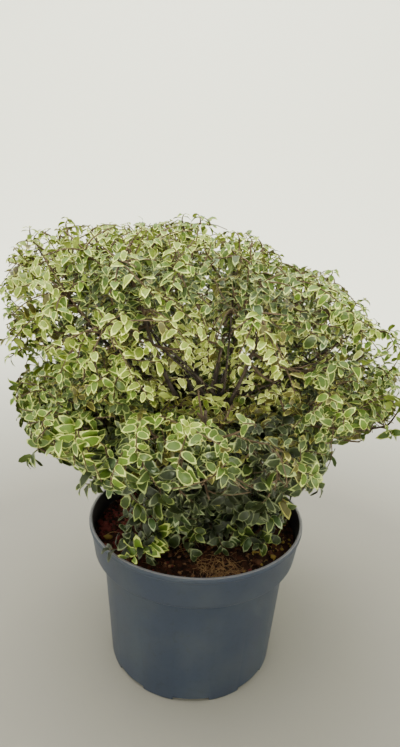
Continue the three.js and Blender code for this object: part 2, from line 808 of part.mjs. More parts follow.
// One ball, by the rule: a stem through a small dense heart, twigs round it, leaves along the twigs.
function growBall(ball, balls, limbs, placed) {
  const random = seededNumbers(ball.seed);
  const walls = spaceWalls(ball, balls);
  const near = limbs.filter((limb) => limb.a.distanceTo(ball.centre) < ball.radius + LEAF_LENGTH * 2);
  const stem = growStem(ball, walls);
  const twigs = [stem, ...growTwigs(ball, walls, near, stem, random)];
  const heart = growHeart(ball, walls, near);
  const leaves = growLeaves(ball, { walls, limbs: near, heart, twigs, placed }, random);
  return { twigs, leaves, heart };
}

function buildBall(grown) {
  const parts = [];
  for (const twig of grown.twigs) {
    parts.push(toSolid(limbGeometry(twig.path, twig.radii, twig.sides)));
  }
  for (const leaf of grown.leaves) {
    parts.push(toSolid(leafGeometry(leaf.corners)));
  }
  const { centre, radius } = grown.heart;
  if (radius > 0) {
    const heart = new THREE.IcosahedronGeometry(radius, 0);
    heart.scale(1, 1, HEART_SQUASH);
    heart.translate(centre.x, centre.y, centre.z);
    parts.push(toSolid(heart));
  }
  return toGeometry(largestBody(wasm.Manifold.union(parts)));
}

// Assembly

function material(kind) {
  return new THREE.MeshStandardMaterial(MATERIALS[kind]);
}

function addPiece(plant, name, geometry, kind) {
  const mesh = new THREE.Mesh(geometry, material(kind));
  mesh.name = name;
  plant.add(mesh);
}

const plant = new THREE.Group();
plant.name = "variegated_pittosporum";
addPiece(plant, "pot", buildPot(), "pot");
addPiece(plant, "potting_soil", buildSoil(), "soil");
addPiece(plant, "trunk", toGeometry(toSolid(trunkGeometry(0))), "bark");

const balls = planBalls();
const limbs = limbPieces(balls);
const trunkRoom = toSolid(trunkGeometry(GAP));
const placed = [];
for (const ball of balls) {
  const { path, radii } = ball.bough;
  const whole = toSolid(limbGeometry(path, radii, BOUGH_SIDES));
  addPiece(plant, `bough_${ball.name}`, toGeometry(largestBody(whole.subtract(trunkRoom))), "bark");
}
for (const ball of balls) {
  const grown = growBall(ball, balls, limbs, placed);
  addPiece(plant, `foliage_${ball.name}`, buildBall(grown), "leaf");
}

export default plant;
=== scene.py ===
"""A variegated pittosporum in a round nursery pot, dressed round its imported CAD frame.

Metres, +Z up, the origin at the centre of the pot's flat underside, the front towards -Y. The shrub
grows by the rule of its CAD source: a short trunk, boughs that leave it at many heights and a ball of
twigs at the end of every bough. Here the rule goes on to finer twigs and to leaves of their true size.
"""

import logging
import math
from dataclasses import dataclass, field
from enum import Enum
from itertools import combinations
from typing import Callable, Optional, Sequence

import bpy
import numpy as np
from mathutils import Matrix, Vector
from numpy.linalg import norm


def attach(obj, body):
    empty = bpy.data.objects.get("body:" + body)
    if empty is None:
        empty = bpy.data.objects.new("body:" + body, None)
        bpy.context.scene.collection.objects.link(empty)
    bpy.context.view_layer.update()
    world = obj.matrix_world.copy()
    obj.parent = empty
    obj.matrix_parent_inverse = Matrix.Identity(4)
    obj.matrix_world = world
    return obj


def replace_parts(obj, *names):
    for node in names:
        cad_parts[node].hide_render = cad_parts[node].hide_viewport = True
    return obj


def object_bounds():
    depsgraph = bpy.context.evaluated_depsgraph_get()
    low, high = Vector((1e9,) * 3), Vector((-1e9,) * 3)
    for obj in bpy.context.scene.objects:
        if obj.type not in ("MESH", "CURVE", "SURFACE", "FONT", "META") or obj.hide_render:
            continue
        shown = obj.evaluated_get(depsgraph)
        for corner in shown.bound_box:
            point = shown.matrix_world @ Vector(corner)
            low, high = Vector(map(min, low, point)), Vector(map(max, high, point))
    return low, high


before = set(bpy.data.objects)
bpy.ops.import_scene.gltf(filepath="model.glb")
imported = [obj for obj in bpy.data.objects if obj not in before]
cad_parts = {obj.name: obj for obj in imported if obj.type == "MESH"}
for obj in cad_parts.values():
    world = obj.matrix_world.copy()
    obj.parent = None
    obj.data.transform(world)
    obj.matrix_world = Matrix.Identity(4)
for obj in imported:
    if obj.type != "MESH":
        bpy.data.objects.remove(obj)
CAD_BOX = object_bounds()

LOG = logging.getLogger("pittosporum")
BODY = "root"
MM = 0.001
TURN = 2 * math.pi
GOLDEN_ANGLE = math.pi * (3 - math.sqrt(5))
UP = np.array([0.0, 0.0, 1.0])
RIGHT = np.array([1.0, 0.0, 0.0])
LEVEL = np.array([1.0, 1.0, 0.0])
Array = np.ndarray
Pair = tuple[float, float]
Triple = tuple[float, float, float]
Piece = bpy.types.Object
Finish = bpy.types.Material
Tree = bpy.types.NodeTree
Socket = bpy.types.NodeSocket


# Small mathematics


class Seeded:
    """Numbers between 0 and 1 that are the same on every run, drawn as the CAD source draws them."""

    MASK = 0xFFFFFFFF

    def __init__(self, seed: int) -> None:
        """Starts the row of numbers.

        Args:
            seed: The row's own number.
        """
        self.state = seed & self.MASK

    def __call__(self) -> float:
        """Returns: The next number."""
        self.state = (self.state + 0x6D2B79F5) & self.MASK
        mixed = self.state
        mixed = ((mixed ^ (mixed >> 15)) * (mixed | 1)) & self.MASK
        step = ((mixed ^ (mixed >> 7)) * (mixed | 61)) & self.MASK
        mixed ^= (mixed + step) & self.MASK
        return ((mixed ^ (mixed >> 14)) & self.MASK) / 4294967296

    def between(self, low: float, high: float) -> float:
        """Returns: A number from low to high."""
        return low + (high - low) * self()


def lerp(start: float, end: float, share: float) -> float:
    """Returns: The value at a share of the way from start to end."""
    return start + (end - start) * share


def ramp(value: float, foot: float, run: float) -> float:
    """Returns: How far a value has come from foot on along a run, kept from 0 to 1."""
    return min(max((value - foot) / run, 0), 1)


def unit(vector: Array) -> Array:
    """Returns: The vector at length one."""
    return vector / norm(vector)


def square_to(direction: Array) -> Array:
    """Returns: Any unit vector square to the given one."""
    return unit(np.cross(UP if abs(direction[2]) < 0.9 else RIGHT, direction))


def level(angle: float) -> Array:
    """Returns: The level unit vector at an angle round the pot."""
    return np.array([math.cos(angle), math.sin(angle), 0.0])


def spread_aim(index: int, count: int) -> Array:
    """Returns: One of a number of directions that are spread evenly over a ball."""
    rise = 1 - 2 * (index + 0.5) / count
    flat, angle = math.sqrt(1 - rise * rise), index * GOLDEN_ANGLE
    return np.array([flat * math.cos(angle), flat * math.sin(angle), rise])


def egg(point: Array, middle: Triple, size: Triple) -> float:
    """Returns: How far out a point is in an egg-shaped space, from 0 in its middle to 1 at its skin."""
    return float(norm((point - np.array(middle)) / np.array(size)))


def turned(vector: Array, axis: Array, angle: float) -> Array:
    """Returns: The vector turned round a unit axis by an angle in radians."""
    cos, sin = math.cos(angle), math.sin(angle)
    return vector * cos + np.cross(axis, vector) * sin + axis * (axis @ vector) * (1 - cos)


def bezier(start: Array, control: Array, end: Array, shares: Array) -> Array:
    """Returns: The points of a bent line at the given shares of its run, one in each row."""
    share = np.atleast_1d(shares)[:, None]
    rest = 1 - share
    return start * rest * rest + control * 2 * rest * share + end * share * share


def curve(start: Array, control: Array, end: Array, steps: int) -> Array:
    """Returns: The points of a bent line after equal steps of its run, and its start."""
    return bezier(start, control, end, np.linspace(0, 1, steps + 1))


def arc(start: Array, end: Array, lift: float) -> Array:
    """Returns: The points of a shoot that is lifted halfway between its ends."""
    return curve(start, (start + end) / 2 + UP * lift, end, 6)


# Materials


def linear(code: str) -> tuple[float, float, float, float]:
    """Turns a colour from sRGB to linear light.

    Args:
        code: The colour as #RRGGBB.

    Returns:
        Red, green, blue and an alpha of one.
    """
    parts = [int(code[at : at + 2], 16) / 255 for at in (1, 3, 5)]
    red, green, blue = (c / 12.92 if c <= 0.04045 else ((c + 0.055) / 1.055) ** 2.4 for c in parts)
    return red, green, blue, 1.0


def add_node(tree: Tree, kind: str, settings: Optional[dict] = None,
             values: Optional[dict] = None, links: Optional[dict] = None) -> bpy.types.Node:
    """Adds one node to a tree.

    Args:
        tree: The material's or world's node tree.
        kind: The node's type.
        settings: Its own properties, by name.
        values: Numbers or colours for its input sockets, by name or place.
        links: Output sockets that feed its input sockets, by name or place.

    Returns:
        The node.
    """
    node = tree.nodes.new(kind)
    for name, value in (settings or {}).items():
        setattr(node, name, value)
    for name, value in (values or {}).items():
        node.inputs[name].default_value = value
    for name, source in (links or {}).items():
        tree.links.new(source, node.inputs[name])
    return node


def new_finish(name: str) -> tuple[Finish, Tree]:
    """Returns: An empty material and its node tree."""
    finish = bpy.data.materials.new(name)
    finish.use_nodes = True
    finish.node_tree.nodes.clear()
    return finish, finish.node_tree


def add_shader(tree: Tree, values: dict, links: dict) -> None:
    """Adds a material's shader and wires it to the output.

    Args:
        tree: The material's tree.
        values: Numbers or colours for its input sockets, by name.
        links: Output sockets that feed its input sockets, by name.
    """
    shader = add_node(tree, "ShaderNodeBsdfPrincipled", None, values, links)
    add_node(tree, "ShaderNodeOutputMaterial", links={"Surface": shader.outputs["BSDF"]})


def place(tree: Tree) -> Socket:
    """Returns: The socket that gives a point's place on the object, in metres."""
    return add_node(tree, "ShaderNodeTexCoord").outputs["Object"]


def noise(tree: Tree, where: Socket, size_mm: float, detail: float = 3.0) -> Socket:
    """Adds a cloudy pattern.

    Args:
        tree: The tree that it joins.
        where: The socket of the point's place.
        size_mm: The width of one cloud in millimetres.
        detail: How many finer layers it carries.

    Returns:
        The socket of its value.
    """
    values = {"Scale": 1 / (size_mm * MM), "Detail": detail}
    return add_node(tree, "ShaderNodeTexNoise", None, values, {"Vector": where}).outputs["Fac"]


def blend(tree: Tree, share: Socket, low: float, high: float, colours: tuple[str, str]) -> Socket:
    """Runs a pattern through a two-colour ramp.

    Args:
        tree: The tree that it joins.
        share: The pattern's value.
        low: The value that still has the first colour.
        high: The value that has the second colour.
        colours: The two colours.

    Returns:
        The ramp's colour socket.
    """
    ramp = add_node(tree, "ShaderNodeValToRGB", links={"Fac": share})
    for stop, at, colour in zip(ramp.color_ramp.elements, (low, high), colours):
        stop.position = at
        stop.color = linear(colour)
    return ramp.outputs["Color"]


def relief(tree: Tree, height: Socket, depth_mm: float, strength: float) -> Socket:
    """Returns: The normal socket of a bump of the given depth."""
    values = {"Strength": strength, "Distance": depth_mm * MM}
    return add_node(tree, "ShaderNodeBump", values=values, links={"Height": height}).outputs["Normal"]


@dataclass(frozen=True)
class MouldedPolypropylene:
    """Injection-moulded polypropylene, slate grey: a satin skin with a fine tool grain and dry dust. In pale
    grey-pink it is the rim's painted highlight.
    """

    name: str = "moulded_polypropylene"
    body: str = "#303849"
    dust: str = "#434950"
    grime: str = "#262b31"
    roughness: float = 0.46
    grain_mm: float = 1.1
    cloud_mm: float = 55.0

    def material(self) -> Finish:
        """Returns: The pot's material; clouds of dust break the even grey, the grain dulls its gloss."""
        finish, tree = new_finish(self.name)
        where = place(tree)
        clouds = noise(tree, where, self.cloud_mm, 5.0)
        specks = noise(tree, where, self.cloud_mm / 9, 6.0)
        dusty = blend(tree, clouds, 0.42, 0.78, (self.body, self.dust))
        grimy = blend(tree, specks, 0.28, 0.46, (self.grime, self.body))
        mixed = add_node(tree, "ShaderNodeMix", {"data_type": "RGBA"}, {0: 0.35}, {6: dusty, 7: grimy})
        grain = noise(tree, where, self.grain_mm, 2.0)
        span = {"To Min": self.roughness - 0.06, "To Max": self.roughness + 0.1}
        rough = add_node(tree, "ShaderNodeMapRange", None, span, {"Value": clouds})
        add_shader(tree, {"IOR": 1.49, "Specular IOR Level": 0.4},
                   {"Base Color": mixed.outputs[2], "Roughness": rough.outputs["Result"],
                    "Normal": relief(tree, grain, 0.12, 0.3)})
        return finish


@dataclass(frozen=True)
class PeatCompost:
    """Damp peat compost: near black in its hollows, red-brown on its drier tops, with no shine."""

    damp: str = "#1c100b"
    dry: str = "#4a2a1c"
    cloud_mm: float = 9.0
    grit_mm: float = 2.0

    def material(self) -> Finish:
        """Returns: The bed's material; brown clouds and a coarse bump break up the ground."""
        finish, tree = new_finish("peat_compost")
        where = place(tree)
        clouds = noise(tree, where, self.cloud_mm, 8.0)
        colour = blend(tree, clouds, 0.36, 0.66, (self.damp, self.dry))
        grit = noise(tree, where, self.grit_mm, 4.0)
        add_shader(tree, {"Roughness": 0.95, "Specular IOR Level": 0.2},
                   {"Base Color": colour, "Normal": relief(tree, grit, 1.2, 0.9)})
        return finish


@dataclass(frozen=True)
class YoungBark:
    """Thin bark of a young shrub: dark grey-brown, shallowly fissured, dotted with pale pores."""

    ridge: str = "#3d342d"
    fissure: str = "#1d1713"
    pore: str = "#6a5f52"
    cloud_mm: float = 7.0
    pore_mm: float = 4.5

    def material(self) -> Finish:
        """Returns: The limbs' material; dark fissures give its grain, pale pores its age."""
        finish, tree = new_finish("young_bark")
        where = place(tree)
        drawn = add_node(tree, "ShaderNodeMapping", None, {"Scale": (1.0, 1.0, 0.3)}, {"Vector": where})
        clouds = noise(tree, drawn.outputs["Vector"], self.cloud_mm, 6.0)
        ground = blend(tree, clouds, 0.38, 0.64, (self.fissure, self.ridge))
        scale = {"Scale": 1 / (self.pore_mm * MM)}
        pores = add_node(tree, "ShaderNodeTexVoronoi", None, scale, {"Vector": where})
        span = {"From Min": 0.12, "From Max": 0.2, "To Min": 0.8, "To Max": 0.0}
        dots = add_node(tree, "ShaderNodeMapRange", None, span, {"Value": pores.outputs["Distance"]})
        mixed = add_node(tree, "ShaderNodeMix", {"data_type": "RGBA"}, {7: linear(self.pore)},
                         {0: dots.outputs["Result"], 6: ground})
        add_shader(tree, {"Roughness": 0.82, "Specular IOR Level": 0.3},
                   {"Base Color": mixed.outputs[2], "Normal": relief(tree, clouds, 0.5, 0.8)})
        return finish


@dataclass(frozen=True)
class PlainSkin:
    """A small thing's own skin, one colour to a spray: its grain is in the bump and its gloss."""

    name: str
    colour: str
    roughness: float = 0.6
    specular: float = 0.35
    grain_mm: float = 1.6
    depth_mm: float = 0.12

    def material(self) -> Finish:
        """Returns: The skin's material; a fine grain keeps its surface from looking cast."""
        finish, tree = new_finish(self.name)
        grain = noise(tree, place(tree), self.grain_mm, 2.0)
        add_shader(tree, {"Base Color": linear(self.colour), "Roughness": self.roughness,
                          "Specular IOR Level": self.specular},
                   {"Normal": relief(tree, grain, self.depth_mm, 0.5)})
        return finish


def skins(*rows: tuple) -> list[Finish]:
    """Returns: The materials of plain skins, each given by the values of its fields."""
    return [PlainSkin(*row).material() for row in rows]


class Tint(Enum):
    """What a spray's leaves look like: blade, margin and back, from the youngest to the oldest. Their
    lightness also stands for light and shade on the head: the lighter tints are painted light, the darker
    ones painted shade.
    """

    YOUNG = ("#687a22", "#bec665", "#84913f")
    LIGHT = ("#4b631a", "#aab558", "#718131")
    MIDDLE = ("#3b4f16", "#959f53", "#5d6c32")
    OLD = ("#2b3a10", "#798547", "#475426")
    BLUE = ("#3a4e29", "#8d9870", "#50633c")
    OLIVE = ("#434116", "#89873e", "#595a2a")
    # Dark tint for shaded places: painted shade.
    SHADE = ("#212c10", "#626a48", "#363e22")
    # Pale tint for the shaded back of the clearing: painted light.
    YELLOWED = ("#8f9b42", "#cdd389", "#a0aa58")
    # Darkest tint, for deep shade: painted shade.
    DEEP_SHADE = ("#171e0b", "#3d432e", "#252c1b")

    def skins(self) -> list[Finish]:
        """Returns: The materials of blade, margin and back: waxy above, cream edged, matt and pale below."""
        blade, margin, back = self.value
        name = self.name.lower()
        return skins((f"leaf_blade_{name}", blade, 0.45, 0.3), (f"leaf_margin_{name}", margin, 0.5, 0.34),
                     (f"leaf_back_{name}", back, 0.62, 0.24))


# Meshes from arrays


@dataclass
class Joined:
    """Many small things gathered into one mesh of triangles."""

    parts: list[tuple[Array, ...]] = field(default_factory=list)
    count: int = 0

    def add(self, points: Array, faces: Array, slot: int | Array = 0,
            edged: Optional[Array] = None) -> None:
        """Adds one thing.

        Args:
            points: Its corners in millimetres, one in each row.
            faces: Its triangles, as places in points.
            slot: The material slot of all faces, or of each.
            edged: Whether each corner is on a crisp edge.
        """
        edged = np.zeros(len(points), bool) if edged is None else edged
        self.parts.append((points, faces + self.count, np.broadcast_to(slot, len(faces)), edged))
        self.count += len(points)

    def piece(self, name: str, finishes: Sequence[Finish]) -> Piece:
        """Makes the mesh.

        Args:
            name: The piece's name.
            finishes: Its materials, in the order of the slots.

        Returns:
            The object, smooth but for its crisp edges.
        """
        points, faces, slots, edged = (np.concatenate(column) for column in zip(*self.parts))
        faces = faces.astype(np.int32)
        mesh = bpy.data.meshes.new(name)
        mesh.vertices.add(len(points))
        mesh.vertices.foreach_set("co", (points * MM).astype(np.float32).ravel())
        mesh.loops.add(faces.size)
        mesh.loops.foreach_set("vertex_index", faces.ravel())
        mesh.polygons.add(len(faces))
        mesh.polygons.foreach_set("loop_start", np.arange(0, faces.size, 3, dtype=np.int32))
        for finish in finishes:
            mesh.materials.append(finish)
        mesh.polygons.foreach_set("material_index", slots.astype(np.int32))
        mesh.update(calc_edges=True)
        mesh.shade_smooth()
        if edged.any():
            ends = np.empty(len(mesh.edges) * 2, np.int32)
            mesh.edges.foreach_get("vertices", ends)
            sharp = edged[ends.reshape(-1, 2)].all(axis=1)
            mesh.attributes.new("sharp_edge", "BOOLEAN", "EDGE").data.foreach_set("value", sharp)
        mesh.validate()
        piece = bpy.data.objects.new(name, mesh)
        bpy.context.scene.collection.objects.link(piece)
        return piece


def limb_shape(path: Array, radii: Array, sides: int,
               skin: Optional[Callable[[Array, float], Array]] = None
               ) -> tuple[Array, Array]:
    """A closed round limb that follows a path, each ring square to it, without twist.

    Args:
        path: The points of its axis.
        radii: Its radius at each of them.
        sides: The number of its sides.
        skin: Gives a factor on the radius from the angles round a ring and the run to it.

    Returns:
        Its corners and its triangles.
    """
    before = path[np.maximum(np.arange(len(path)) - 1, 0)]
    after = path[np.minimum(np.arange(len(path)) + 1, len(path) - 1)]
    angles = np.arange(sides) / sides * TURN
    rings = []
    across = None
    run = 0.0
    for step, point in enumerate(path):
        along = unit(after[step] - before[step])
        across = square_to(along) if across is None else across
        across = unit(across - along * (across @ along))
        other = np.cross(along, across)
        run += float(norm(point - path[step - 1])) if step else 0.0
        radius = radii[step] * (skin(angles, run) if skin else np.ones(sides))
        ring = point + np.outer(np.cos(angles) * radius, across)
        rings.append(ring + np.outer(np.sin(angles) * radius, other))
    side = np.arange(sides)
    strip = np.concatenate([
        np.stack([side, (side + 1) % sides, (side + 1) % sides + sides], axis=1),
        np.stack([side, (side + 1) % sides + sides, side + sides], axis=1),
    ])
    faces = [strip + level * sides for level in range(len(path) - 1)]
    fan = np.stack([np.zeros(sides - 2, int), side[1:-1], side[2:]], axis=1)
    faces.append(fan[:, ::-1])
    faces.append(fan + (len(path) - 1) * sides)
    return np.concatenate(rings), np.concatenate(faces)


# Meshes made as by hand


def deselect() -> None:
    """Leaves object mode with nothing selected."""
    if bpy.context.object and bpy.context.object.mode != "OBJECT":
        bpy.ops.object.mode_set(mode="OBJECT")
    bpy.ops.object.select_all(action="DESELECT")


def apply_modifiers(piece: Piece) -> None:
    """Applies a piece's modifiers, the first first."""
    bpy.context.view_layer.objects.active = piece
    for modifier in list(piece.modifiers):
        bpy.ops.object.modifier_apply(modifier=modifier.name)


def extrude_rings(profile: Sequence[Pair], scale: float) -> None:
    """Extrudes the selected ring upwards and scales it, ring by ring.

    Args:
        profile: Radius and height of each ring, the selected one first.
        scale: The length of their unit in metres.
    """
    for (radius, height), (next_radius, next_height) in zip(profile, profile[1:]):
        lift, growth = (next_height - height) * scale, next_radius / radius
        bpy.ops.mesh.extrude_region_move(TRANSFORM_OT_translate={"value": (0, 0, lift)})
        bpy.ops.transform.resize(value=(growth, growth, 1), center_override=(0, 0, next_height * scale))


def raised_shell(name: str, profile: Sequence[Pair], segments: int) -> Piece:
    """A closed round shell: a ring that is extruded and scaled along a profile, and filled at both ends.

    Args:
        name: The piece's name.
        profile: Radius and height of each ring in millimetres, from the underside on.
        segments: The number of corners in a ring.

    Returns:
        The object, its faces pointing outwards.
    """
    deselect()
    radius, height = profile[0]
    bpy.ops.mesh.primitive_circle_add(vertices=segments, radius=radius * MM, location=(0, 0, height * MM),
                                      fill_type="NOTHING")
    piece = bpy.context.object
    piece.name = piece.data.name = name
    bpy.ops.object.transform_apply(location=True, rotation=True, scale=True)
    bpy.ops.object.mode_set(mode="EDIT")
    bpy.ops.mesh.select_mode(type="EDGE")
    bpy.ops.mesh.select_all(action="SELECT")
    extrude_rings(profile, MM)
    bpy.ops.mesh.edge_face_add()
    bpy.ops.mesh.select_all(action="DESELECT")
    bpy.ops.mesh.select_non_manifold()
    bpy.ops.mesh.edge_face_add()
    bpy.ops.mesh.select_all(action="SELECT")
    bpy.ops.mesh.normals_make_consistent(inside=False)
    bpy.ops.object.mode_set(mode="OBJECT")
    return piece


def rounded(corners: Sequence[Triple], steps: int = 3) -> list[Pair]:
    """A profile with its corners rounded off.

    Args:
        corners: Radius, height and rounding of each corner, in millimetres.
        steps: The number of parts in each rounding.

    Returns:
        The profile's points.
    """
    points = []
    places = [np.array(corner[:2], float) for corner in corners]
    for index, (radius, height, size) in enumerate(corners):
        if size <= 0 or index in (0, len(corners) - 1):
            points.append((radius, height))
            continue
        here = places[index]
        back = here + unit(places[index - 1] - here) * size
        on = here + unit(places[index + 1] - here) * size
        points += [tuple(point) for point in bezier(back, here, on, np.linspace(0, 1, steps + 1))]
    return points


# Pot and compost


@dataclass
class NurseryPot:
    """A thin moulded pot: a plain tapering body under a wider collar, notched at its foot."""

    height: float = 196.0
    base_radius: float = 106.5
    body_top_radius: float = 117.5
    step_height: float = 150.0
    step_rise: float = 3.5
    collar_radius: float = 128.5
    rim_radius: float = 133.6
    lip_out: float = 1.6
    lip_height: float = 7.0
    wall: float = 2.4
    floor: float = 6.0
    edge_round: float = 1.8
    segments: int = 144
    notch_count: int = 8
    notch_width: float = 44.0
    notch_depth: float = 9.0
    notch_height: float = 5.0
    notch_turn: float = -89.0

    def inside(self, height: float) -> float:
        """Returns: The pot's inner radius at a height, on its sloping walls."""
        above_step = self.step_height + self.step_rise + self.edge_round
        if height >= above_step:
            share = (height - above_step) / (self.height - self.edge_round - above_step)
            return lerp(self.collar_radius, self.rim_radius, share) - self.wall
        foot = self.floor + self.edge_round
        share = (height - foot) / (self.step_height - self.edge_round - foot)
        return lerp(self.base_radius, self.body_top_radius, share) - self.wall

    def profile(self) -> list[Pair]:
        """Returns: The section of the wall, from the underside round the lip to the inner floor."""
        above_step = self.step_height + self.step_rise
        lip_foot = self.height - self.lip_height
        inner_floor = self.base_radius - self.wall - self.edge_round
        return rounded([
            (self.base_radius - self.edge_round * 4, 0.0, 0.0),
            (self.base_radius, 0.0, self.edge_round),
            (self.body_top_radius, self.step_height, 1.6),
            (self.collar_radius, above_step, 1.8),
            (self.rim_radius, lip_foot, 0.8),
            (self.rim_radius + self.lip_out, lip_foot + 1.2, 0.7),
            (self.rim_radius + self.lip_out, self.height, 1.4),
            (self.rim_radius - self.wall, self.height, 0.9),
            (self.collar_radius - self.wall, above_step + self.edge_round, 1.6),
            (self.body_top_radius - self.wall, self.step_height - self.edge_round, 1.6),
            (inner_floor + self.edge_round, self.floor, 2.0),
            (inner_floor - self.edge_round * 2, self.floor, 0.0),
        ])

    def cutter(self) -> Piece:
        """Returns: The blocks that cut the notches, joined, their upper edges eased."""
        blocks = []
        for index in range(self.notch_count):
            angle = math.radians(self.notch_turn) + index / self.notch_count * TURN
            deselect()
            at = (self.base_radius * MM * math.cos(angle), self.base_radius * MM * math.sin(angle), 0)
            bpy.ops.mesh.primitive_cube_add(size=1, location=at, rotation=(0, 0, angle))
            block = bpy.context.object
            block.scale = (self.notch_depth * 2 * MM, self.notch_width * MM, self.notch_height * 2 * MM)
            bpy.ops.object.transform_apply(location=True, rotation=True, scale=True)
            bpy.ops.object.modifier_add(type="BEVEL")
            block.modifiers[0].width = 1.2 * MM
            block.modifiers[0].segments = 3
            apply_modifiers(block)
            blocks.append(block)
        deselect()
        for block in blocks:
            block.select_set(True)
        bpy.context.view_layer.objects.active = blocks[0]
        bpy.ops.object.join()
        return blocks[0]

    def build(self) -> Piece:
        """Returns: The pot, raised from its underside, notched and smoothed."""
        pot = raised_shell("pot_shell", self.profile(), self.segments)
        cutter = self.cutter()
        notches = pot.modifiers.new("notches", "BOOLEAN")
        notches.operation = "DIFFERENCE"
        notches.solver = "EXACT"
        notches.object = cutter
        apply_modifiers(pot)
        bpy.data.objects.remove(cutter)
        deselect()
        pot.select_set(True)
        bpy.context.view_layer.objects.active = pot
        bpy.ops.object.shade_smooth_by_angle(angle=math.radians(38))
        return pot

    def dress(self, pot: Piece) -> None:
        """Gives the pot its finishes and its place in the frame: slate grey outside, near black on the inner
        wall above the step, and a painted highlight on the rim's top.

        Args:
            pot: The pot that build made.
        """
        for finish in (MouldedPolypropylene(),
                       MouldedPolypropylene("darkened_inner_polypropylene", "#17181b", "#241f1c", "#0f1012"),
                       MouldedPolypropylene("painted_highlight_polypropylene", "#77767c", "#8a8688", "#5d5c62")):
            pot.data.materials.append(finish.material())
        for face in pot.data.polygons:
            outward = Vector((face.center.x, face.center.y, 0)).normalized()
            # The inner wall above the step is coloured near black.
            if face.normal.dot(outward) < -0.3 and face.center.z > self.step_height * MM:
                face.material_index = 1
            # The rim's flat top is coloured pale grey-pink: a painted highlight.
            elif face.normal.z > 0.75 and face.center.z > (self.height - self.wall) * MM:
                face.material_index = 2
        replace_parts(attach(pot, BODY), "pot")


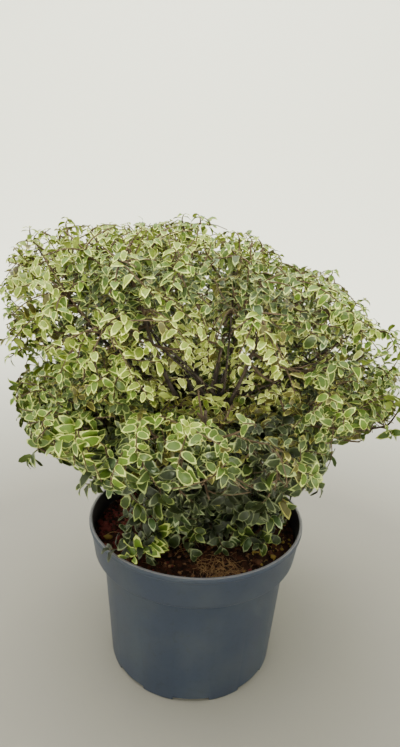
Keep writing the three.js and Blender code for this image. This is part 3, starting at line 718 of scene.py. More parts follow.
@dataclass
class CompostBed:
    """Compost under the rim, mounded a little round the trunk: a crumbly bed, crumbs, chips and fibres."""

    pot: NurseryPot
    edge_height: float = 173.0
    crown_height: float = 178.0
    seat_radius: float = 26.0
    clearance: float = 0.9
    lump: float = 1.6
    rings: int = 46
    segments: int = 160
    relief: float = 1.7
    crumbs: int = 2600
    crumb_sizes: Pair = (0.8, 3.4)
    crumb_forms: int = 9
    bare_foot: Triple = (2.0, 6.0, 17.0)
    chips: tuple[float, ...] = (-100, -16, 30, 44)
    grains: tuple[float, ...] = (88, -62, 16, 24)
    red: tuple[float, ...] = (-96, -22, 34, 44)
    pale: tuple[float, ...] = (42, -92, 42, 26)
    yellow: tuple[float, ...] = (98, -50, 24, 34)
    fibres: int = 210
    tuft_share: float = 0.72
    fibre_reach: float = 122.0

    def height(self, radius: Array, angle: Array) -> Array:
        """Returns: The bed's height, by the CAD source's rule."""
        share = (radius - self.seat_radius) / (self.pot.collar_radius - self.seat_radius)
        share = np.maximum(share, 0.0)
        lumps = np.sin(angle * 3 + radius * 0.09) + np.sin(angle * 7 - radius * 0.13)
        slope = self.crown_height + (self.edge_height - self.crown_height) * share
        return slope + self.lump / 2 * lumps * np.minimum(share * 3, 1)

    def crumble(self, x: Array, y: Array) -> Array:
        """Returns: The small lumps of the bed at a place, from several crossing waves."""
        total = np.zeros_like(x)
        draw = Seeded(4711)
        for octave in range(5):
            length = 17.0 * 0.62 ** octave
            for _ in range(4):
                heading, phase = draw() * TURN, draw() * TURN
                wave = (x * math.cos(heading) + y * math.sin(heading)) / length * TURN + phase
                total += np.sin(wave) * 0.72 ** octave / 4
        return total

    def side(self, height: float) -> float:
        """Returns: The bed's radius at a height, its clearance inside the pot's wall."""
        return self.pot.inside(height) - self.clearance

    def build(self) -> Piece:
        """Returns: The bed, raised ring by ring from the pot's floor and broken into crumbs."""
        foot = self.pot.floor + self.clearance
        below = self.pot.step_height - self.pot.edge_round + self.clearance * 1.5
        above = self.pot.step_height + self.pot.step_rise + self.pot.edge_round + self.clearance
        rim = self.edge_height - self.lump
        edge = self.side(rim)
        profile = [(self.side(foot) - 4, foot)]
        profile += [(self.side(height), height) for height in (foot + 4, below, above, rim)]
        profile += [(edge * (1 - step / self.rings), self.edge_height) for step in range(1, self.rings)]
        bed = raised_shell("compost_bed", profile, self.segments)
        points = np.empty(len(bed.data.vertices) * 3, np.float32)
        bed.data.vertices.foreach_get("co", points)
        points = points.reshape(-1, 3).astype(float) / MM
        top = points[:, 2] > rim - 0.01
        radius = np.hypot(points[:, 0], points[:, 1])
        angle = np.arctan2(points[:, 1], points[:, 0])
        fade = np.clip((edge - radius) / 6, 0, 1)
        rough = self.relief * self.crumble(points[:, 0], points[:, 1]) * fade
        points[:, 2] = np.where(top, self.height(radius, angle) + rough - 0.6, points[:, 2])
        bed.data.vertices.foreach_set("co", (points * MM).astype(np.float32).ravel())
        bed.data.update()
        bed.data.shade_smooth()
        return bed

    def surface(self, x: float, y: float) -> float:
        """Returns: The height of the crumbled bed at a place."""
        radius, angle = np.array([math.hypot(x, y)]), np.array([math.atan2(y, x)])
        rough = self.relief * self.crumble(np.array([x]), np.array([y]))
        return float((self.height(radius, angle) + rough - 0.6)[0])

    def crumb_shape(self, draw: Seeded) -> tuple[Array, Array]:
        """Returns: One crumb of size one: a ball of twenty faces, dented and drawn out at random."""
        gold = (1 + math.sqrt(5)) / 2
        corners = []
        for one in (-1, 1):
            for two in (-gold, gold):
                corners += [(0, one, two), (one, two, 0), (two, 0, one)]
        ball = np.array(corners, float) / math.hypot(1, gold)
        faces = []
        for a, b, c in combinations(range(12), 3):
            trio = ball[[a, b, c]]
            if norm(trio - np.roll(trio, 1, axis=0), axis=1).max() < 1.2:
                outward = np.dot(np.cross(trio[1] - trio[0], trio[2] - trio[0]), trio.sum(axis=0)) > 0
                faces.append((a, b, c) if outward else (a, c, b))
        stretch = np.array([draw.between(0.7, 1.35), draw.between(0.6, 1.1), draw.between(0.5, 0.85)])
        dents = np.array([draw.between(0.72, 1.15) for _ in range(12)])
        return ball * dents[:, None] * stretch, np.array(faces)

    @staticmethod
    def near(x: float, y: float, patch: Sequence[float]) -> float:
        """Returns: How near a place is to a patch: 1 in its middle, 1/e at its half widths."""
        return math.exp(-(((x - patch[0]) / patch[2]) ** 2 + ((y - patch[1]) / patch[3]) ** 2))

    def scatter(self) -> Piece:
        """Returns: The crumbs, joined: dark peat all over, red bark chips to the left, pale ones in front."""
        draw = Seeded(907)
        forms = [self.crumb_shape(draw) for _ in range(self.crumb_forms)]
        joined = Joined()
        edge = self.pot.inside(self.edge_height) - 3.5
        for _ in range(self.crumbs):
            radius, angle = edge * math.sqrt(draw()), draw() * TURN
            x, y = radius * math.cos(angle), radius * math.sin(angle)
            size = lerp(*self.crumb_sizes, draw() ** 2.6)
            size *= 1 + 0.9 * self.near(x, y, self.chips)
            size *= 1 + 1.1 * self.near(x, y, self.grains)
            if math.hypot(x - self.bare_foot[0], y - self.bare_foot[1]) < self.bare_foot[2]:
                continue
            points, faces = forms[int(draw() * len(forms))]
            spin = draw() * TURN
            cos, sin = math.cos(spin), math.sin(spin)
            turn = np.array([[cos, -sin, 0], [sin, cos, 0], [0, 0, 1]])
            at = np.array([x, y, self.surface(x, y) + size * 0.25])
            kinds = [0.55, 0.3] + [least + self.near(x, y, patch) * more for least, patch, more in
                                   ((0.04, self.red, 9.0), (0.03, self.pale, 1.4), (0.01, self.yellow, 1.6))]
            pick, slot = draw() * sum(kinds), 0
            while slot < len(kinds) - 1 and pick > kinds[slot]:
                pick -= kinds[slot]
                slot += 1
            joined.add(points @ turn.T * size + at, faces, slot)
        return joined.piece("compost_crumbs", skins(
            ("peat_crumb_dark", "#2a1b14", 0.95, 0.15, 1.2, 0.3),
            ("peat_crumb_brown", "#5b3d2b", 0.92, 0.15, 1.2, 0.3),
            *((f"bark_chip_{name}", colour, 0.85, 0.2, 1.4, 0.3)
              for name, colour in (("red", "#642c27"), ("pale", "#7b5a3e"), ("yellow", "#8c7638")))))

    def strew_fibres(self) -> Piece:
        """Returns: Dry fibres of the compost, joined: thin bent strands, thickest in front of the trunk."""
        draw = Seeded(1319)
        joined = Joined()
        for index in range(self.fibres):
            if index < self.fibres * self.tuft_share:
                x = 34 + (draw() + draw() - 1) * 46
                y = -90 + (draw() + draw() - 1) * 26
            else:
                radius, angle = 112 * math.sqrt(draw()), draw() * TURN
                x, y = radius * math.cos(angle), radius * math.sin(angle)
            length, heading = draw.between(9, 26), draw() * TURN
            forward = np.array([math.cos(heading), math.sin(heading)])
            aside = np.array([-forward[1], forward[0]]) * draw.between(-0.3, 0.3) * length
            at = np.array([x, y])
            ends = [at - forward * length / 2, at + aside, at + forward * length / 2]
            if max(np.hypot(*end) for end in ends) > self.fibre_reach:
                continue
            lift = draw.between(0.2, 1.4)
            line = curve(*ends, 5)
            rises = [lift * math.sin(math.pi * step / 5) for step in range(6)]
            heights = [self.surface(*point) + 0.5 + rise for point, rise in zip(line, rises)]
            path = np.column_stack([line, heights])
            thick = draw.between(0.28, 0.55)
            radii = thick * np.array([0.4, 0.9, 1.0, 1.0, 0.8, 0.3])
            joined.add(*limb_shape(path, radii, 4), 0 if draw() < 0.7 else 1)
        return joined.piece("compost_fibres", skins(("dry_fibre_tan", "#8d6d49", 0.8, 0.25),
                                                    ("dry_fibre_brown", "#573d2a", 0.85, 0.2)))

    def dress(self, bed: Piece, loose: Sequence[Piece]) -> None:
        """Gives the bed its finish, and bed and loose pieces their place in the frame.

        Args:
            bed: The bed that build made.
            loose: The crumbs and fibres on it.
        """
        bed.data.materials.append(PeatCompost().material())
        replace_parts(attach(bed, BODY), "potting_soil")
        for piece in loose:
            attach(piece, BODY)


# Limbs


@dataclass
class Limbs:
    """Straight pieces of limbs with a radius, which twigs and leaves keep off."""

    starts: Array
    ends: Array
    radii: Array
    owners: Array

    @classmethod
    def along(cls, path: Array, radii: Array, owner: str) -> "Limbs":
        """Returns: The pieces of one limb, each as thick as at its foot."""
        return cls(path[:-1], path[1:], np.asarray(radii[:-1], float), np.array([owner] * (len(path) - 1)))

    @classmethod
    def joined(cls, parts: Sequence["Limbs"]) -> "Limbs":
        """Returns: The pieces of several limbs as one set."""
        return cls(np.concatenate([p.starts for p in parts]), np.concatenate([p.ends for p in parts]),
                   np.concatenate([p.radii for p in parts]), np.concatenate([p.owners for p in parts]))

    def only(self, keep: Array) -> "Limbs":
        """Returns: The pieces that are kept."""
        return Limbs(self.starts[keep], self.ends[keep], self.radii[keep], self.owners[keep])

    def gaps(self, start: Array, end: Array) -> Array:
        """Measures the room beside a straight twig.

        Args:
            start: Where the twig starts.
            end: Where it ends.

        Returns:
            Its shortest distance to the skin of each limb piece.
        """
        u, v, w = end - start, self.ends - self.starts, start - self.starts
        uu, uv, vv = u @ u, v @ u, np.einsum("ij,ij->i", v, v)
        uw, vw = w @ u, np.einsum("ij,ij->i", v, w)
        spread = uu * vv - uv * uv
        safe = np.where(spread < 1e-9, 1.0, spread)
        s = np.where(spread < 1e-9, 0.0, np.clip((uv * vw - vv * uw) / safe, 0, 1))
        t = np.clip((uv * s + vw) / vv, 0, 1)
        s = np.clip((uv * t - uw) / uu, 0, 1)
        near, other = start + u * s[:, None], self.starts + v * t[:, None]
        return norm(near - other, axis=1) - self.radii

    def clear(self, start: Array, end: Array, reach: float) -> bool:
        """Returns: Whether a straight twig keeps off all limbs by the reach."""
        return len(self.radii) == 0 or bool((self.gaps(start, end) > reach).all())

    def clear_along(self, points: Array, reach: float) -> bool:
        """Returns: Whether a twig through the points keeps off all limbs by the reach."""
        return all(self.clear(start, end, reach) for start, end in zip(points, points[1:]))

    def off(self, points: Array) -> Array:
        """Returns: Each point's distance to the skin of the nearest limb."""
        if len(self.radii) == 0:
            return np.full(len(points), 1e9)
        line = self.ends - self.starts
        apart = points[:, None] - self.starts[None]
        share = np.clip(np.einsum("mnk,nk->mn", apart, line) / np.einsum("nk,nk->n", line, line), 0, 1)
        return (norm(apart - line[None] * share[..., None], axis=2) - self.radii).min(axis=1)


@dataclass
class Trunk:
    """A short trunk, flaring into the compost and leaning a little."""

    foot: Triple = (2.0, 6.0, 178.35)
    knee: Triple = (-8.0, 3.0, 262.0)
    top: Triple = (10.0, -8.0, 352.0)
    foot_radius: float = 8.2
    top_radius: float = 4.6
    flare: float = 0.75
    flare_fade: float = 9.0
    steps: int = 9
    sunk: float = 1.2

    def points(self, shares: Array | float) -> Array:
        """Returns: The points of the axis at shares of its run."""
        return bezier(np.array(self.foot), np.array(self.knee), np.array(self.top), np.atleast_1d(shares))

    def radius(self, share: Array | float) -> Array | float:
        """Returns: The radius at a share of the run."""
        flared = 1 + self.flare * np.exp(-share * self.flare_fade)
        return lerp(self.foot_radius, self.top_radius, share) * flared

    def limbs(self) -> Limbs:
        """Returns: The trunk as straight pieces."""
        shares = np.linspace(0, 1, self.steps + 1)
        return Limbs.along(self.points(shares), self.radius(shares), "trunk")

    def skin(self, angles: Array, run: float) -> Array:
        """Returns: The bark's ridges and fissures round one ring, as factors on its radius."""
        ridges = np.abs(np.sin(angles * 4 + 0.7 * math.sin(run / 17) + run * 0.012))
        scars = 0.05 * np.maximum(np.sin(run / 5.5 + angles), 0.85) - 0.0425
        fluted = 0.05 * np.sin(angles * 3 + run * 0.03) * math.exp(-run / 60)
        return 0.93 + 0.09 * ridges + scars + fluted

    def build(self) -> Piece:
        """Returns: The trunk with its bark's relief, its foot just in the compost."""
        shares = np.linspace(0, 1, 72)
        path = self.points(shares)
        path[0, 2] -= self.sunk
        joined = Joined()
        joined.add(*limb_shape(path, self.radius(shares), 28, self.skin))
        return joined.piece("trunk_bark", [YoungBark().material()])

    def dress(self, piece: Piece) -> None:
        """Gives the trunk its place in the frame."""
        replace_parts(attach(piece, BODY), "trunk")


@dataclass
class Bough:
    """One tapering limb from the trunk's axis to a tip just inside its ball."""

    start: Array
    control: Array
    end: Array
    foot_radius: float
    tip_radius: float

    def path(self, steps: int) -> Array:
        """Returns: The points of the axis."""
        return curve(self.start, self.control, self.end, steps)

    def radii(self, steps: int) -> Array:
        """Returns: The radius at each of them."""
        return np.linspace(self.foot_radius, self.tip_radius, steps + 1)


# Crown


@dataclass
class Ball:
    """A ball of leafy twigs at the end of a bough."""

    name: str
    centre: Array
    radius: float
    bough_at: float
    bough_lift: float
    leaf_room: float
    basal: bool = False
    seed: int = 0
    bough: Optional[Bough] = None


@dataclass(frozen=True)
class CrownRing:
    """A ring of balls round the crown's axis."""

    name: str
    count: int
    turn: float
    spread: float
    spread_sway: float
    height: float
    height_sway: float
    front_lift: float
    ball: float
    bough_from: float
    bough_to: float
    bough_lift: float


@dataclass
class Twig:
    """A twig: its axis, its thickness, its order from the stem and where its leaves start to turn."""

    path: Array
    radii: Array
    order: int
    turn: float = 0.0

    def length(self) -> float:
        """Returns: The run of its axis."""
        return float(norm(np.diff(self.path, axis=0), axis=1).sum())

    def at(self, run: float) -> tuple[Array, Array]:
        """Finds a place on the twig.

        Args:
            run: The distance from its foot.

        Returns:
            The point there and the direction of the axis.
        """
        pieces = np.diff(self.path, axis=0)
        lengths = norm(pieces, axis=1)
        step = 0
        while step < len(lengths) - 1 and run > lengths[step]:
            run -= lengths[step]
            step += 1
        along = pieces[step] / lengths[step]
        return self.path[step] + along * min(run, lengths[step]), along


@dataclass(frozen=True)
class TwigOrder:
    """How the twigs of one order leave the twig under them."""

    spacing: float
    share_from: float
    share_to: float
    open_foot: float
    open_tip: float
    sway: float
    longest: Pair
    shortest: float
    light_bend: float
    foot_radius: float
    tip_radius: float


class Space:
    """The room of one ball: its sphere and the flat faces that part it from its neighbours and the ground.

    The leaves also stay behind the head's outline as the eye sees it. HEAD holds the outline's corners in the
    plane of the trunk, clockwise and without a dent, and NOTCHES the dents, each as three corners.
    """

    CLEARANCE = 0.5
    WALL_MARGIN = 0.3
    REACH_STEP = 3.0
    FLOOR = 243.0
    FLOOR_RISE = 0.4
    FLOOR_HINGE = 45.0
    OVERGROWTH = 22.0
    EYE = (-15.1, -616.0, 566.6)
    HEAD = ((-198, 544), (-165, 551), (-34, 562), (27, 557), (61, 543), (143, 506), (188, 475), (226, 428),
            (245, 384), (249, 328), (229, 304), (157, 227), (132, 216), (-108, 209), (-213, 274),
            (-237, 338), (-242, 424), (-238, 493), (-223, 526))
    NOTCHES = (
        ((258, 323), (170, 289), (160, 219)),
        ((-239, 358), (-216, 386), (-249, 397)),
        ((64, 552), (94, 516), (153, 519)),
    )

    def __init__(self, ball: Ball, balls: Sequence[Ball], trimmed: bool = False) -> None:
        """Sets the faces.

        Args:
            ball: The ball whose room it is.
            balls: All balls of the shrub.
            trimmed: Whether it is the room of leaves, a little wider, that ends at the outline of the head.
        """
        self.ball = ball
        self.radius = ball.radius + (self.OVERGROWTH if trimmed else 0.0)
        normals, limits = [], []
        for other in balls:
            between = other.centre - ball.centre
            apart = float(norm(between))
            if other is ball or apart > ball.radius + other.radius:
                continue
            reach = (apart * apart + ball.radius ** 2 - other.radius ** 2) / (2 * apart)
            normal = between / apart
            normals.append(normal)
            limits.append(normal @ ball.centre + reach - self.CLEARANCE)
        if not ball.basal:
            tipped = unit(np.array([0.0, -self.FLOOR_RISE, -1.0]))
            normals += [np.array([0.0, 0.0, -1.0]), tipped]
            limits += [-self.FLOOR, tipped @ np.array([0.0, -self.FLOOR_HINGE, self.FLOOR])]
        parting = len(normals)
        eye = np.array(self.EYE)
        marks = [np.array([x, 0.0, z]) - eye for x, z in (*self.HEAD, self.HEAD[0])]
        for mark, following in zip(marks, marks[1:]) if trimmed and not ball.basal else ():
            normal = unit(np.cross(following, mark))
            normals.append(normal)
            limits.append(normal @ eye)
        self.normals = np.array(normals).reshape(-1, 3)
        self.limits = np.array(limits)
        self.margins = np.where(np.arange(len(limits)) < parting, self.WALL_MARGIN, 1.0)
        self.notches = []
        for corners in self.NOTCHES if trimmed and not ball.basal else ():
            first, middle, last = (np.array([x, 0.0, z]) - eye for x, z in corners)
            self.notches.append((unit(np.cross(middle, first)), unit(np.cross(last, middle))))

    def holds(self, points: Array, margin: float) -> Array:
        """Returns: Whether each point is inside by the margin, and off its neighbours by a part of it."""
        near = norm(points - self.ball.centre, axis=-1) <= self.radius - margin
        for first, second in self.notches:
            sight = points - np.array(self.EYE)
            near = near & ~((sight @ first > -margin) & (sight @ second > -margin))
        return near & (points @ self.normals.T < self.limits - margin * self.margins).all(axis=-1)

    def reach(self, start: Array, heading: Array, margin: float) -> float:
        """Returns: How far a straight twig can run and still end well inside."""
        runs = np.arange(self.REACH_STEP, self.ball.radius * 2, self.REACH_STEP)
        inside = self.holds(start + heading * runs[:, None], margin)
        if not inside.any():
            return 0.0
        first = int(np.argmax(inside))
        rest = inside[first:]
        stop = len(rest) if rest.all() else int(np.argmin(rest))
        return float(runs[first + stop - 1])


class Lumps:
    """A slow swell through space, from 0 to 1, by which shoots stand out in tufts with hollows between."""

    WAVES = 7
    STEEPNESS = 0.36

    def __init__(self, seed: int, size: float) -> None:
        """Draws the waves.

        Args:
            seed: The number the draws start from.
            size: The mean distance from tuft to tuft in millimetres.
        """
        draw = Seeded(seed)
        headings = [unit(np.array([draw.between(-1, 1) for _ in range(3)])) for _ in range(self.WAVES)]
        self.waves = np.array([heading * TURN / (size * draw.between(0.7, 1.5)) for heading in headings])
        self.starts = np.array([draw() * TURN for _ in range(self.WAVES)])

    def __call__(self, point: Array) -> float:
        """Returns: The swell at a point."""
        swell = float(np.sin(self.waves @ point + self.starts).sum()) / math.sqrt(self.WAVES / 2)
        return min(max(0.5 + self.STEEPNESS * swell, 0), 1)


class Slots:
    """Slots through the leaves before stretches of stem, where the stems show dark between them."""

    OVERRUN = 0.03

    def __init__(self, lines: Sequence[Sequence[Triple]], width: float) -> None:
        """Sets the slots.

        Args:
            lines: The stems, each as the points that it passes.
            width: How far from the line of sight to a stem a leaf has to stay, in millimetres.
        """
        self.width = width
        self.eye = np.array(Space.EYE)
        sights = [np.array(line, float) - self.eye for line in lines]
        ends = [pair for sight in sights for pair in zip(sight, sight[1:])]
        self.across = np.array([unit(np.cross(a, b)) for a, b in ends])
        self.shares = np.array([np.linalg.pinv(np.stack([a, b], axis=1)) for a, b in ends])

    def hold(self, points: Array) -> bool:
        """Returns: Whether any of the points lies in a slot, between a stem and the eye."""
        sight = points - self.eye
        beside = np.abs(sight @ self.across.T) < self.width
        shares = np.einsum("gij,mj->mgi", self.shares, sight)
        before = (shares > -self.OVERRUN).all(axis=2) & (shares.sum(axis=2) < 1 + self.OVERRUN)
        return bool((beside & before).any())


class LeafForms:
    """A few forms of one small leaf: blunt oval blade, wavy cream margin, drooping tip."""

    OUTLINE = 8
    RUNS = (0.16, 0.5, 0.84)
    WIDTHS = (0.68, 1.0, 0.74)
    INNER_RUNS = (0.24, 0.5, 0.78)
    THICKNESS = 0.02
    COUNT = 10

    def __init__(self) -> None:
        """Draws the forms, each with its own width, wave, droop and margin."""
        draw = Seeded(77)
        self.points = np.array([self.form(draw) for _ in range(self.COUNT)])
        ring = [(k, (k + 1) % 8, 8 + (k + 1) % 8, 8 + k) for k in range(8)]
        blade = [(8, 9, 16), (9, 10, 17, 16), (10, 11, 18, 17), (11, 12, 18),
                 (8, 16, 15), (16, 17, 14, 15), (17, 18, 13, 14), (18, 12, 13)]
        back = [(0, 19, 1), (1, 19, 20, 2), (2, 20, 21, 3), (3, 21, 4),
                (0, 7, 19), (7, 6, 20, 19), (6, 5, 21, 20), (5, 4, 21)]
        faces, parts = [], []
        for part, group in enumerate((blade, ring, back)):
            for corners in group:
                faces += [corners[:3]] + ([(corners[0], *corners[2:])] if len(corners) == 4 else [])
            parts += [part] * (len(faces) - len(parts))
        self.faces = np.array(faces)
        self.parts = np.array(parts)
        self.edged = np.arange(22) < self.OUTLINE

    def form(self, draw: Seeded) -> Array:
        """Draws one form.

        Args:
            draw: The row of numbers.

        Returns:
            Its 22 corners, in leaf lengths: outline, inner edge of the margin, midrib, back of the midrib.
        """
        half = draw.between(0.21, 0.3)
        fold, droop, arch = draw.between(0.05, 0.36), draw.between(0.2, 0.75), draw.between(0.05, 0.16)
        wave, phase = draw.between(0.05, 0.11), draw() * TURN
        bend = draw.between(-0.07, 0.07)

        def corner(run: float, wide: float, lift: float) -> list[float]:
            """Returns: A corner from its run, its place across in half widths and its own lift."""
            height = arch * math.sin(math.pi * run) - droop * run ** 2.2 + fold * half * abs(wide) + lift
            return [run - 0.1 * droop * run, wide * half + bend * run ** 2, height]

        right, left = [], []
        for side, edge in ((-1, right), (1, left)):
            for index, (run, width) in enumerate(zip(self.RUNS, self.WIDTHS)):
                lift = wave * math.sin(phase + index * 2.1 + side * 0.8) * (0.2 if index == 0 else 1)
                edge.append((run + draw.between(-0.015, 0.015), side * width, lift))
        outline = [(0, 0, 0), *right, (1, 0, 0), *left[::-1]]
        inner = [(0.14, 0, self.THICKNESS)]
        for edge, side in ((right, -1), (left, 1)):
            rows = []
            for index, (run, wide, lift) in enumerate(edge):
                rim = draw.between(0.07, 0.2)
                kept = abs(wide) - rim * (1.0, 1.0, 0.8)[index]
                rows.append((self.INNER_RUNS[index], side * kept, lift * 0.55 + self.THICKNESS))
            inner += rows + [(draw.between(0.88, 0.94), 0, self.THICKNESS)] if side < 0 else rows[::-1]
        midrib = [(run, 0, self.THICKNESS * 0.6) for run in self.INNER_RUNS]
        back = [(run, 0, -self.THICKNESS * 0.6) for run in self.INNER_RUNS]
        return np.array([corner(*point) for point in (*outline, *inner, *midrib, *back)])


@dataclass
class Leaves:
    """The leaves of one ball, each a row of its root, direction, upper side, length, form and tint."""

    rows: list[tuple] = field(default_factory=list)

    def piece(self, name: str, forms: LeafForms, finishes: Sequence[Finish]) -> Piece:
        """Makes one joined mesh of all the leaves.

        Args:
            name: The piece's name.
            forms: The forms of a leaf.
            finishes: Blade, margin and back of every tint in turn.

        Returns:
            The object.
        """
        root, along, face, long, form, tint = (np.array(column) for column in zip(*self.rows))
        base = np.stack([along, np.cross(face, along), face], axis=1) * long[:, None, None]
        points = np.einsum("nij,njk->nik", forms.points[form], base) + root[:, None]
        count, corners = points.shape[:2]
        faces = forms.faces[None] + (np.arange(count) * corners)[:, None, None]
        slots = forms.parts[None] + tint[:, None] * 3
        joined = Joined()
        joined.add(points.reshape(-1, 3), faces.reshape(-1, 3), slots.ravel(), np.tile(forms.edged, count))
        return joined.piece(name, finishes)


@dataclass
class Plot:
    """A ball with its room, the limbs in it, its twigs and its leaves."""

    ball: Ball
    space: Space
    near: Limbs
    guarded: Limbs
    twigs: list[Twig] = field(default_factory=list)
    leaves: Leaves = field(default_factory=Leaves)


class Spacing:
    """The middles of the leaves so far, in a grid, so that no two leaves sit in the same place."""

    def __init__(self, size: float) -> None:
        """Starts the grid.

        Args:
            size: The width of a cell in millimetres.
        """
        self.size = size
        self.cells: dict[tuple[int, int, int], list[Array]] = {}

    def cell(self, point: Array) -> tuple[int, int, int]:
        """Returns: The cell of a point."""
        return tuple(int(math.floor(value / self.size)) for value in point)

    def add(self, point: Array) -> None:
        """Notes a point."""
        self.cells.setdefault(self.cell(point), []).append(point)

    def free(self, point: Array, apart: float) -> bool:
        """Returns: Whether no noted point is nearer than apart."""
        i, j, k = self.cell(point)
        reach = math.ceil(apart / self.size)
        for x in range(i - reach, i + reach + 1):
            for y in range(j - reach, j + reach + 1):
                for z in range(k - reach, k + reach + 1):
                    for other in self.cells.get((x, y, z), ()):
                        gap = point - other
                        if gap @ gap < apart * apart:
                            return False
        return True


Foot = tuple[Array, Array, Plot]


@dataclass(frozen=True)
class Skin:
    """An egg-shaped skin round a place, which twigs cover where it is bare: its back, and its top."""

    middle: Triple
    size: Triple
    share: Pair
    points: int
    apart: float
    behind: float
    above: float = 2.0


@dataclass(frozen=True)
class LeafHabit:
    """How leaves sit on a twig. Of a pair of values the first holds low in the head, the last high in it."""

    length: float = 15.6
    apart: float = 0.34
    most: int = 11
    leafy: float = 0.9
    sizes: Pair = (1.26, 0.79)
    size_sway: Pair = (0.84, 1.12)
    size_zone: Pair = (318, 70)
    young_to_grown: Pair = (0.62, 1.04)
    grown_after: int = 5
    length_sway: Pair = (0.88, 1.1)
    opened: Pair = (26, 66)
    opened_after: int = 4
    opened_high: float = 20
    opened_sway: float = 9
    rise_kept: Pair = (0.8, 0.4)
    hang: Pair = (0.5, 0.06)
    hang_zone: Pair = (265, 90)
    high_zone: Pair = (350, 110)
    face_along: Pair = (0.62, 0.24)
    face_up: Pair = (0.5, 1.15)
    face_out: float = 0.25
    face_out_hung: float = 0.9
    face_sway: float = 0.38
    ragged: float = 12.0
    tint_change: float = 0.22
    thinned: float = 0.5


@dataclass(frozen=True)
class TintRule:
    """How the tints are shared out: by a score of height, depth, lumps, patches of light and chance. A high
    score picks a lighter tint: painted light high, far out and in the heart, painted shade low, inside, in
    the hollows between tufts and under the skirt.
    """

    zone: Pair = (245.0, 330.0)
    # Higher leaves score lighter: painted light from above.
    height_gain: float = 0.62
    # Leaves inside the head score darker: painted shade.
    skin_gain: float = 3.0
    skin_at: float = 0.86
    inside_least: float = -0.2
    # Leaves in the hollows between tufts score darker: painted shade.
    lump_loss: float = 0.4
    lump_mean: float = 0.4
    chance: float = 0.2
    # Leaves in the heart score lighter: painted light.
    heart_gain: float = 0.5
    # Leaves below the skirt's height score darker: painted shade.
    skirt_loss: float = 0.5
    skirt: Pair = (352.0, 60.0)
    olive_shares: Pair = (0.05, 0.22)
    olive_inside: float = 0.88
    olive_above: float = 320.0
    lights: tuple[tuple[float, Tint], ...] = ((0.94, Tint.YOUNG), (0.5, Tint.LIGHT), (0.12, Tint.MIDDLE))
    shade_below: float = -0.55
    deep_shade_below: float = -1.0
    blue_shares: Pair = (0.07, 0.2)
    blue_above: float = 330.0
    back_shade: float = 0.3
    # Share of the leaves behind the clearing that are painted pale: painted light.
    yellowed: float = 0.75
    yellowed_round: float = 1.7
    yellowed_behind: float = 40.0


